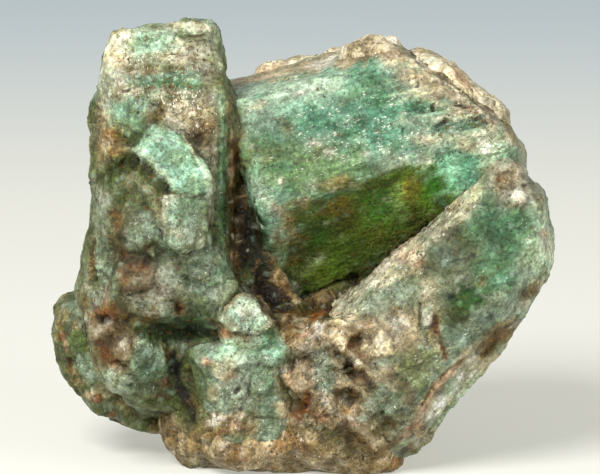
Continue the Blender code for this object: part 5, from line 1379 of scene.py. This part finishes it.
def leaning_crystal():
    """The wide crystal that leans to the right, with a granular ridge and a rusty fold."""
    s = Surface("leaning_crystal", "leaning_beryl")
    close_up(s)
    ridge = s.frayed(s.run(RIDGE, width=1.2))
    strip = s.inside(RIGHT_STRIP, edge=0.2)
    fall = np.minimum(s.away_from(s.seen(0), FOLD), STRIP_REACH)
    away, _ = grains(s.first, size=0.5, seed=61)
    total = weathered(s, LEANING_AXIS, rough=0.6) + ridge * (RIDGE_HEIGHT + 0.16 * (0.4 - away))
    total -= strip * (STRIP_SET_BACK + STRIP_SLOPE * fall)
    total += steps(s, [(-0.15, 0.12, DARK_INSET), (0.2, 0.1, WHITE_PEBBLE), (-0.15, 0.12, OLIVE_LENS)])
    total += dents(s, [
        (-0.12, 10.5, 10.45, 0.3, 0.16, 45), (-0.2, 13.1, 9.7, 0.6, 0.35, 10),
        (-0.12, 9.75, 11.9, 0.14, 0.2), (-0.12, 14.0, 10.8, 0.4, 0.12, 35), (-0.2, 11.8, 16.1, 0.5, 0.6),
        (0.25, 12.35, 14.95, 0.45, 0.4), (-0.2, 12.85, 15.7, 0.2, 0.25), (0.12, 13.6, 12.0, 0.8, 1.0),
        (0.12, 10.3, 15.2, 0.8, 0.3, 20),
    ])
    total += grooves(s, [
        (-0.15, 0.12, RUST_STREAK), (0.08, 0.2, FOLD), (-0.2, 0.12, [(8.6, 5.3), (7.6, 4.3), (7.0, 3.2)]),
        (-0.1, 0.1, [(10.8, 4.9), (10.0, 3.9)]),
    ])
    s.push(total + front_relief(s))

    s.tone[:] = srgb(MILKY)
    mottles(s, [
        (GREY_GREEN, 0.6, 2.2, 62, -0.2, 0.6), (SEA_GREEN, 0.4, 1.4, 63, 0.1, 0.8),
        (TAN, 0.5, 1.0, 64, 0.35, 0.8),
    ])
    fields(s, [
        (GREY_GREEN, 0.55, 0.6, [(7.0, 13.8), (9.4, 15.0), (9.8, 12.4), (9.8, 10.4), (8.6, 9.6),
                                 (7.4, 10.6), (6.8, 12.0)]),
        (SEA_GREEN, 0.9, 0.5, [(9.4, 15.2), (10.6, 15.5), (11.4, 14.8), (13.4, 14.4), (12.9, 12.6),
                               (12.4, 11.0), (11.8, 10.0), (10.4, 9.8), (9.7, 10.8), (9.9, 12.0),
                               (9.6, 13.6)]),
        (MILKY, 0.85, 0.5, [(12.9, 14.2), (14.4, 13.9), (15.3, 12.4), (14.8, 10.9), (13.4, 10.5),
                            (12.5, 11.2), (12.9, 13.0)]),
        (STONE_GREY, 0.85, 0.4, [(10.4, 16.4), (11.2, 17.6), (13.6, 17.6), (14.4, 15.4), (13.6, 14.8),
                                 (11.6, 14.7), (11.0, 15.6)]),
        (GRASS, 0.95, 0.2, DARK_INSET),
        (MOSS, 0.85, 0.3, [(8.2, 9.0), (9.4, 8.8), (9.5, 7.8), (8.8, 6.9), (8.3, 7.0), (8.1, 8.0)]),
        (MILKY, 0.85, 0.35, [(9.6, 8.2), (10.4, 9.2), (12.6, 9.2), (13.1, 8.3), (11.2, 7.7), (9.8, 6.7),
                             (8.7, 5.8), (8.5, 6.8), (9.2, 7.5)]),
        (MILKY, 0.7, 0.3, [(6.9, 5.8), (8.4, 5.8), (8.5, 5.4), (7.3, 4.0), (6.4, 4.6)]),
    ])
    s.tint(ridge, CREAM, 0.7)
    crumbs(s, 0.3 + 0.6 * ridge, IVORY, BROWN)
    dabs(s, [
        (DEEP_SEA, 0.7, 11.3, 12.9, 0.8, 0.6), (TEAL, 0.6, 11.0, 14.2, 0.8, 0.6),
        (TEAL, 0.5, 11.2, 10.6, 0.7, 0.5), (FOREST, 0.6, 10.4, 13.1, 0.3, 0.3),
        (SEA_GREEN, 0.7, 12.3, 13.8, 0.7, 0.6), (DEEP_SEA, 0.5, 12.0, 11.8, 0.6, 0.5),
        (MOSS, 0.7, 9.6, 12.5, 0.4, 0.35), (MOSS, 0.5, 9.0, 13.4, 0.4, 0.5),
        (STONE_GREY, 0.6, 7.8, 13.2, 0.7, 0.5), (MILKY, 0.7, 8.4, 11.6, 0.9, 0.6),
        (MOSS, 0.5, 7.4, 11.5, 0.5, 0.3, -20), (STONE_GREY, 0.7, 9.2, 10.6, 0.5, 0.5),
        (BROWN, 0.8, 9.8, 11.95, 0.12, 0.25, -10), (IVORY, 0.9, 10.0, 12.15, 0.08, 0.08),
        (IVORY, 0.7, 9.8, 11.5, 0.12, 0.08, -30), (AMBER, 1.0, 10.45, 10.4, 0.25, 0.3, -30),
        (AMBER, 0.6, 10.9, 10.8, 0.25, 0.12, 40), (IVORY, 0.9, 12.2, 11.4, 0.08, 0.08),
        (STONE_GREY, 0.7, 14.2, 12.4, 0.6, 0.6), (PEACH, 0.8, 14.1, 13.1, 0.3, 0.25),
        (RUST, 0.5, 14.2, 13.0, 0.12, 0.2), (CREAM, 0.5, 14.6, 12.6, 0.3, 0.8),
        (PALE_MINT, 0.6, 13.9, 11.7, 0.6, 0.3), (IVORY, 0.6, 13.1, 12.7, 0.2, 0.06),
        (CLAY, 0.8, 11.7, 16.4, 0.6, 0.5), (TAN, 0.7, 11.5, 16.0, 0.3, 0.5),
        (IVORY, 1.0, 12.4, 15.05, 0.4, 0.35), (PEACH, 0.8, 12.3, 14.6, 0.4, 0.12),
        (AMBER, 0.9, 12.85, 15.6, 0.16, 0.25), (IVORY, 0.9, 12.95, 15.65, 0.08, 0.08),
        (PEACH, 0.7, 11.5, 15.4, 0.16, 0.3), (CREAM, 0.6, 12.3, 16.8, 0.3, 0.3),
        (IVORY, 0.6, 13.3, 17.4, 0.4, 0.3), (CLAY, 0.6, 13.9, 15.3, 0.2, 0.4),
        (PALE_MINT, 0.7, 10.4, 15.8, 0.6, 0.12, -25), (PALE_MINT, 0.7, 9.8, 15.3, 0.5, 0.12, 25),
        (FOREST, 0.7, 10.6, 14.6, 0.16, 0.1), (PALE_MINT, 0.5, 11.5, 14.3, 0.1, 0.4, -30),
        (MILKY, 0.6, 11.8, 9.6, 0.9, 0.4), (PALE_MINT, 0.7, 10.9, 9.55, 0.4, 0.06, 10),
        (PALE_MINT, 0.7, 11.4, 9.2, 0.25, 0.08, -30), (SEA_GREEN, 0.5, 11.4, 8.6, 0.2, 0.16),
        (TAN, 0.9, 13.1, 9.7, 0.6, 0.4, 15), (BROWN, 0.8, 12.75, 9.5, 0.25, 0.3),
        (BROWN, 0.9, 13.6, 9.6, 0.2, 0.14), (CLAY, 0.8, 13.7, 10.0, 0.4, 0.2, 30),
        (PEACH, 0.6, 13.0, 8.9, 0.2, 0.14), (STONE_GREY, 0.6, 12.5, 8.8, 0.6, 0.3, 20),
        (SOOT_AND_SHADE, 0.8, 8.7, 9.4, 0.1, 0.25, -35), (IVORY, 0.8, 8.95, 9.8, 0.08, 0.14, -30),
        (SEA_GREEN, 0.6, 9.0, 8.9, 0.4, 0.25), (BROWN, 0.6, 8.3, 8.9, 0.3, 0.16),
        (OLIVE, 0.6, 8.7, 8.0, 0.3, 0.4), (AQUA, 0.4, 9.4, 7.2, 0.5, 0.4, 30),
        (MILKY, 0.7, 8.8, 6.6, 0.3, 0.3), (TAN, 0.6, 7.8, 8.9, 0.35, 0.4),
        (BROWN, 0.5, 7.3, 9.4, 0.5, 0.12, -30), (CREAM, 0.8, 7.4, 9.8, 0.6, 0.16, 15),
        (STONE_GREY, 0.7, 7.2, 9.4, 0.4, 0.25), (MILKY, 0.7, 5.0, 9.4, 1.1, 0.5),
        (CREAM, 0.7, 6.3, 12.3, 0.6, 0.4, 20), (PEACH, 0.6, 5.8, 11.9, 0.5, 0.4, 30),
        (TAN, 0.6, 6.0, 10.8, 0.7, 0.3, 10), (MILKY, 0.6, 7.6, 10.8, 0.5, 0.2, -10),
        (IVORY, 0.6, 7.6, 10.85, 0.2, 0.06, -15), (CREAM, 0.6, 7.2, 10.3, 0.5, 0.25),
    ])
    strokes(s, [
        (BROWN, 0.8, 0.14, [(3.4, 10.2), (4.6, 11.7), (5.6, 12.9), (6.6, 13.8)]),
        (IVORY, 0.7, 0.1, [(5.2, 12.5), (6.0, 13.4), (7.2, 14.4)]),
        (IVORY, 0.6, 0.16, [(3.4, 9.6), (4.6, 10.9), (5.6, 12.0)]),
        (RUST, 0.8, 0.09, [(5.6, 11.4), (6.1, 11.25), (6.7, 11.4), (7.0, 11.5)]),
        (PEACH, 0.6, 0.1, [(6.7, 11.3), (6.9, 10.9)]), (MILKY, 0.6, 0.4, [(7.0, 13.4), (8.2, 14.4)]),
        (TAN, 0.5, 0.2, [(5.9, 9.6), (7.0, 9.1)]), (BROWN, 0.7, 0.06, [(6.75, 8.9), (6.75, 7.6)]),
        (TAN, 0.8, 0.25, [(7.3, 7.4), (7.5, 6.6)]),
    ])
    s.tint(s.frayed(strip), STONE_GREY, 0.9)
    dabs(s, [
        (CLAY, 0.6, 10.6, 5.4, 0.8, 0.4, 40), (MILKY, 0.8, 8.3, 4.2, 0.5, 0.5, 45),
        (MILKY, 0.7, 9.2, 3.4, 0.7, 0.35, 45), (MOSS, 0.5, 8.6, 2.6, 0.9, 0.25, 45),
        (CLAY, 0.7, 7.0, 1.4, 0.5, 0.6), (MILKY, 0.6, 7.6, 2.0, 0.5, 0.5, 40),
        (PEACH, 0.6, 7.2, 2.9, 0.35, 0.3), (CLAY, 0.6, 12.3, 6.6, 0.5, 0.3, 30),
        # The white and ivory flecks along the fold and the strip are painted glints.
        (GREY_GREEN, 0.7, 12.9, 7.5, 0.3, 0.5, -20), (WHITE, 1.0, 7.4, 2.4, 0.12, 0.3, -30),
        (WHITE, 1.0, 8.1, 3.1, 0.35, 0.12, 10), (WHITE, 0.9, 8.3, 3.5, 0.4, 0.08, 45),
        (WHITE, 0.8, 9.0, 4.5, 0.35, 0.07, 45), (WHITE, 0.9, 9.9, 4.9, 0.3, 0.08, 40),
        (IVORY, 0.9, 7.8, 1.6, 0.3, 0.1, 50), (BROWN, 0.7, 9.2, 2.6, 0.6, 0.12, 45),
        (TAN, 0.8, 10.4, 4.0, 0.7, 0.2, 48), (BROWN, 0.7, 7.9, 3.9, 0.5, 0.1, 45),
        (RUST, 0.6, 6.9, 2.0, 0.12, 0.5, -30), (PEACH, 0.9, 11.2, 5.6, 0.5, 0.2, 45),
        (IVORY, 0.8, 12.2, 6.7, 0.14, 0.1, 20), (WHITE, 1.0, 9.55, 5.75, 0.16, 0.1, 10),
        (BROWN, 0.9, 9.2, 5.75, 0.2, 0.15, 40), (IVORY, 0.7, 10.1, 6.2, 0.14, 0.1, 40),
        (RUST, 0.6, 6.2, 0.4, 0.3, 0.2), (CREAM, 0.4, 7.0, 0.8, 0.4, 0.3),
    ])
    fields(s, [(AMBER, 0.85, 0.15, OLIVE_LENS), (STONE_GREY, 0.95, 0.12, WHITE_PEBBLE)])
    dabs(s, [
        (WHITE, 0.8, 7.25, 8.2, 0.2, 0.35, -10), (OLIVE, 0.7, 11.2, 6.6, 0.6, 0.2, 40),
        (OLIVE, 0.6, 10.5, 6.1, 0.3, 0.16),
    ])
    strokes(s, [
        (RUST, 1.0, 0.14, RUST_STREAK), (BROWN, 0.7, 0.1, [(7.5, 8.0), (7.5, 7.0)]),
        (BROWN, 0.9, 0.06, [(11.2, 7.4), (11.8, 7.6), (12.2, 7.8)]),
        (RUST, 0.7, 0.12, [(9.1, 5.7), (8.3, 4.9), (7.4, 4.0), (7.0, 3.3)]),
        (PEACH, 0.7, 0.2, [(8.6, 5.0), (7.4, 3.8), (6.9, 2.9), (6.6, 2.2)]),
        (RUST, 0.6, 0.12, [(6.6, 2.0), (6.1, 1.4), (5.4, 0.9), (4.9, 0.4)]),
        (TAN, 0.6, 0.12, [(12.4, 8.1), (11.0, 7.5), (10.0, 6.7)]),
        (BROWN, 0.6, 0.08, [(13.4, 10.2), (14.2, 10.9)]), (CLAY, 0.7, 0.25, [(10.0, 6.6), (9.2, 5.9)]),
        (MOSS, 0.6, 0.16, [(8.6, 1.8), (10.0, 3.2), (11.4, 4.9)]),
        (IVORY, 0.5, 0.1, [(7.8, 2.4), (8.6, 3.4)]),
    ])
    front_tint(s)
    contact_rust_and_shade(s)
    areas(s, [(EMERALD, 0.9, 0.4, 0.3, DARK_INSET)])
    dabs(s, [
        (MOSS, 0.8, 9.0, 8.2, 0.5, 0.7, 10), (EMERALD, 0.6, 10.8, 9.8, 0.5, 0.3, 30),
        (SOOT_AND_SHADE, 0.8, 8.6, 9.5, 0.12, 0.3, -35),
    ])
    shades(s, [
        (0.8, 11.3, 12.8, 1.4, 2.0), (0.78, 8.2, 12.2, 1.4, 2.0), (0.8, 9.5, 9.2, 1.2, 0.9),
        (0.72, 9.8, 7.6, 1.7, 0.9, 30), (1.75, 13.7, 12.2, 1.1, 1.9), (1.5, 9.5, 3.8, 2.6, 1.6, 45),
        (0.72, 5.8, 3.9, 1.6, 1.6), (1.12, 4.6, 10.4, 2.0, 1.2, 40),
    ])
    return finished(s, milky_material(), sugar_glints=0.1 + 0.35 * ridge, grit=0.15 + 0.4 * ridge)


def stub_crystal():
    """The broken stub at the front."""
    s = Surface("stub_crystal", "stub_beryl")
    close_up(s)
    s.push(weathered(s, None, 0.55) + front_relief(s) + dents(s, [
        (-0.2, -3.88, 4.1, 0.16, 0.2), (0.15, -2.6, 4.6, 0.8, 0.8), (-0.12, -5.8, 4.6, 0.25, 0.9, 15),
    ]) + grooves(s, [(-0.12, 0.12, [(-3.1, 5.8), (-3.0, 4.8), (-3.3, 3.6), (-3.6, 2.8)])]))
    s.tone[:] = srgb(MILKY)
    mottles(s, [(GREY_GREEN, 0.7, 1.4, 71, -0.2, 0.6)])
    crumbs(s, 0.25, PALE_MINT, MOSS)
    front_tint(s)
    contact_rust_and_shade(s)
    return finished(s, pale_material(), sugar_glints=0.15, grit=0.15)


# Under the main crystal's lower edge: brown rust, with near-black over it as a painted shadow line.
GAP_UNDER = [(-2.8, 11.4), (-1.4, 10.2), (-0.4, 9.0), (1.6, 9.2), (3.4, 10.3), (3.8, 9.8), (1.8, 8.4),
             (-0.4, 8.0), (-1.6, 8.1), (-2.6, 9.4)]
KNOB = [(-4.9, 8.1), (-4.3, 8.9), (-3.6, 9.3), (-2.5, 9.2), (-2.3, 8.5), (-1.8, 8.1), (-2.4, 7.3),
        (-4.2, 7.2)]


CRUST_STARTS = (17.0, 19.5)  # mm up where the cream crust starts and is full
FOOT_STARTS = (3.5, 1.5)
COARSE_HEIGHT = 0.18
GRITTY_HEIGHT = 0.14


def rock_matrix():
    """The rock that holds the crystals: a brown granular mass with a cream crust along the top."""
    s = Surface("matrix", "rock_matrix", ROCK_GRAIN)
    close_up(s, reach=0.34, swell=0.3)
    coarse, _ = grains(s.first, size=0.8, seed=81)
    gritty, _ = grains(s.first, size=0.5, seed=87)
    crust = ramp(s.co[:, 2], *CRUST_STARTS)
    foot = ramp(s.co[:, 2], *FOOT_STARTS)
    total = weathered(s) + COARSE_HEIGHT * (CRUMB_LEVEL - coarse)
    total = total * (1 - 0.6 * crust) * (1 - 0.5 * foot)
    total += GRITTY_HEIGHT * crust * (CRUMB_LEVEL - gritty)
    total += front_relief(s) + steps(s, [(0.3, 0.12, KNOB)]) + dents(s, [
        (-0.15, 5.5, 23.7, 0.3, 0.16), (-0.15, -3.9, 14.8, 0.4, 0.3), (-0.15, -3.5, 13.0, 0.5, 0.3),
    ])
    s.push(total)
    s.tone[:] = srgb(TAN)
    mottles(s, [
        (CLAY, 0.8, 2.0, 82, -0.1, 0.6), (BROWN, 0.5, 1.3, 83, 0.0, 0.6), (CREAM, 0.7, 1.1, 84, 0.3, 0.8),
        (RUST, 0.45, 1.0, 85, 0.35, 0.8), (GREY_GREEN, 0.6, 1.6, 86, 0.2, 0.7),
    ])
    s.tint(crust, CREAM, 0.8)
    crumbs(s, 0.8, IVORY, BROWN)
    crumbs(s, 0.9 * crust, IVORY, TAN, 0.45, 77)
    dabs(s, [
        (PEACH, 0.8, -2.0, 22.5, 1.8, 0.4, 5), (BROWN, 0.5, -4.2, 22.8, 0.3, 0.4),
        (IVORY, 0.9, 1.4, 23.3, 1.1, 0.3, 15), (CLAY, 0.8, 3.4, 24.2, 0.9, 0.4, 20),
        (IVORY, 0.8, 5.2, 24.3, 0.4, 0.4), (BROWN, 0.7, 5.5, 23.75, 0.3, 0.12),
        (IVORY, 0.9, 7.2, 23.3, 1.2, 0.3, -8), (PEACH, 0.8, 9.5, 22.1, 0.8, 0.4, -45),
        (STONE_GREY, 0.8, 10.8, 20.8, 0.5, 0.4, -30), (STONE_GREY, 0.9, 11.6, 19.4, 0.4, 1.0, 35),
        (BROWN, 0.7, 12.1, 18.6, 0.12, 0.7, 15), (CLAY, 0.8, 12.4, 18.6, 0.3, 0.7, 30),
        (CREAM, 0.8, 11.4, 18.2, 0.6, 0.5), (MILKY, 0.8, 13.2, 18.0, 0.7, 0.7, -40),
        (SOOT_AND_SHADE, 0.7, 13.0, 17.7, 0.1, 0.16), (BROWN, 0.6, 13.7, 17.0, 0.12, 0.3, 20),
    ])
    front_tint(s)
    areas(s, [
        # Brown in the gap under the main crystal is rust; the near-black over it is painted shadow.
        (BROWN, 0.9, 0.4, 0.3, GAP_UNDER), (SOOT_AND_SHADE, 0.75, 0.3, 0.4, GAP_UNDER),
        (PALE_MINT, 1.0, 0.15, 0.2, KNOB, 0.4),
    ])
    dabs(s, [
        (IVORY, 0.45, -3.2, 8.4, 0.6, 0.4), (MINT, 0.7, -2.8, 7.9, 0.6, 0.4),
        (AQUA, 0.6, -4.1, 8.0, 0.5, 0.6), (STONE_GREY, 0.5, -4.4, 8.1, 0.3, 0.2),
        (MILKY, 0.8, -3.4, 9.5, 0.5, 0.3, -30), (PEACH, 0.4, -4.2, 7.6, 0.4, 0.16),
        (RUST, 0.7, -4.6, 7.1, 0.3, 0.16), (BROWN, 0.8, 0.0, 8.4, 1.2, 0.4, 20),
        (RUST, 0.6, 0.7, 8.2, 0.5, 0.2, 45), (OLIVE, 0.7, -0.3, 8.7, 0.8, 0.3),
    ])
    shades(s, [
        (0.72, 0.2, 5.2, 1.4, 2.0), (0.75, 0.3, 2.7, 1.4, 0.8), (0.72, 5.6, 3.9, 1.8, 1.6),
        (0.68, -3.4, 8.2, 1.4, 1.2), (0.82, 4.0, 23.9, 2.2, 0.8), (0.8, 11.4, 18.9, 1.2, 1.2),
        (1.2, -0.8, 22.6, 2.6, 0.5, 8), (1.2, 9.4, 21.8, 1.6, 0.8, -35), (1.1, 4.5, 10.0, 2.0, 1.2, 40),
    ])
    return finished(s, matrix_material(), sugar_glints=0.2, grit=0.45)


# ---------------------------------------------------------------- floor, light and camera

FLOOR_HALF = 2000  # half the width of the floor, in mm
WALL_BEHIND = 1500
WALL_HEIGHT = 700
WALL_BEND = 140
BEND_STEPS = 24
NEAR_TONE, FAR_TONE = "dcdcd2", "bfcacd"
TONE_CHANGES = (70, 240)  # mm behind the specimen where the tone starts to change and has changed
LIT_SHARE = 0.56  # of the sweep's brightness, what the lights give; the rest is its own glow, painted light that lifts the shadows on it
OWN_GLOW = 0.56
SKY_COLOUR = (0.98, 0.99, 1.0, 1)
SKY_STRENGTH = 0.34


def area_light(name, place, size, watts, colour=(1, 1, 1)):
    """A soft light at a place in millimetres, turned to the specimen."""
    lamp = bpy.data.lights.new(name, "AREA")
    lamp.shape = "DISK"
    lamp.size = size * MM
    lamp.energy = watts
    lamp.color = colour
    light = bpy.data.objects.new(name, lamp)
    bpy.context.scene.collection.objects.link(light)
    light.location = Vector(place) * MM
    aim = Vector(VIEW_MIDDLE) * MM - light.location
    light.rotation_euler = aim.to_track_quat("-Z", "Y").to_euler()


def sweep():
    """A pale floor that curves up behind the specimen, and turns bluer away from it; its own glow is
    painted light that lifts the shadows on it.
    """
    bm = bmesh.new()
    bmesh.ops.create_grid(bm, x_segments=1, y_segments=1, size=FLOOR_HALF * MM)
    back = [e for e in bm.edges if all(v.co.y > 0 for v in e.verts)]
    for v in bm.verts:
        if v.co.y > 0:
            v.co.y = WALL_BEHIND * MM
    wall = bmesh.ops.extrude_edge_only(bm, edges=back)
    top = [v for v in wall["geom"] if isinstance(v, bmesh.types.BMVert)]
    bmesh.ops.translate(bm, verts=top, vec=(0, 0, WALL_HEIGHT * MM))
    fold = [e for e in bm.edges if len(e.link_faces) == 2]
    bmesh.ops.bevel(
        bm, geom=fold, offset=WALL_BEND * MM, segments=BEND_STEPS, profile=0.5, affect="EDGES", material=-1
    )
    mesh = bpy.data.meshes.new("sweep")
    bm.to_mesh(mesh)
    bm.free()
    mesh.polygons.foreach_set("use_smooth", [True] * len(mesh.polygons))
    material = bpy.data.materials.new("pale_sweep")
    material.use_nodes = True
    tree = material.node_tree
    place = node(tree, "ShaderNodeTexCoord").outputs["Object"]
    split = node(tree, "ShaderNodeSeparateXYZ")
    link(tree, place, split.inputs[0])
    share = map_range(tree, split.outputs["Y"], *(edge * MM for edge in TONE_CHANGES))
    colour = mix_colour(tree, share, (*srgb(NEAR_TONE), 1), (*srgb(FAR_TONE), 1))
    lit = mix_colour(tree, 1.0, colour, (LIT_SHARE, LIT_SHARE, LIT_SHARE, 1), "MULTIPLY")
    shader = tree.nodes["Principled BSDF"]
    link(tree, lit, shader.inputs["Base Color"])
    link(tree, colour, shader.inputs["Emission Color"])
    shader.inputs["Emission Strength"].default_value = OWN_GLOW
    shader.inputs["Roughness"].default_value = 0.9
    shader.inputs["Specular IOR Level"].default_value = 0.1
    mesh.materials.append(material)
    floor = bpy.data.objects.new("sweep", mesh)
    bpy.context.scene.collection.objects.link(floor)


def camera():
    """Looks a little down on the front, far enough away to keep the perspective slight."""
    lens = bpy.data.cameras.new("camera")
    lens.sensor_width = SENSOR
    lens.lens = SENSOR * CAMERA_AWAY / VIEW_WIDTH
    lens.clip_start = 1 * MM
    eye = bpy.data.objects.new("camera", lens)
    bpy.context.scene.collection.objects.link(eye)
    middle = Vector(VIEW_MIDDLE)
    eye.location = (middle + CAMERA_AWAY * Vector(TOWARD_CAMERA)) * MM
    eye.rotation_euler = (middle * MM - eye.location).to_track_quat("-Z", "Y").to_euler()
    bpy.context.scene.camera = eye


def daylight():
    """A big soft light above the front left, a weaker one from the front right, and an even sky."""
    area_light("key", place=(-110, -170, 210), size=150, watts=1.25, colour=(1.0, 0.99, 1.0))
    area_light("side", place=(230, -150, 120), size=160, watts=0.35)
    world = bpy.data.worlds.new("sky")
    world.use_nodes = True
    world.node_tree.nodes["Background"].inputs["Color"].default_value = SKY_COLOUR
    world.node_tree.nodes["Background"].inputs["Strength"].default_value = SKY_STRENGTH
    bpy.context.scene.world = world
    bpy.context.scene.view_settings.view_transform = "Standard"


for make in (main_crystal, upright_crystal, side_crystal, leaning_crystal, stub_crystal, rock_matrix):
    make()
sweep()
camera()
daylight()
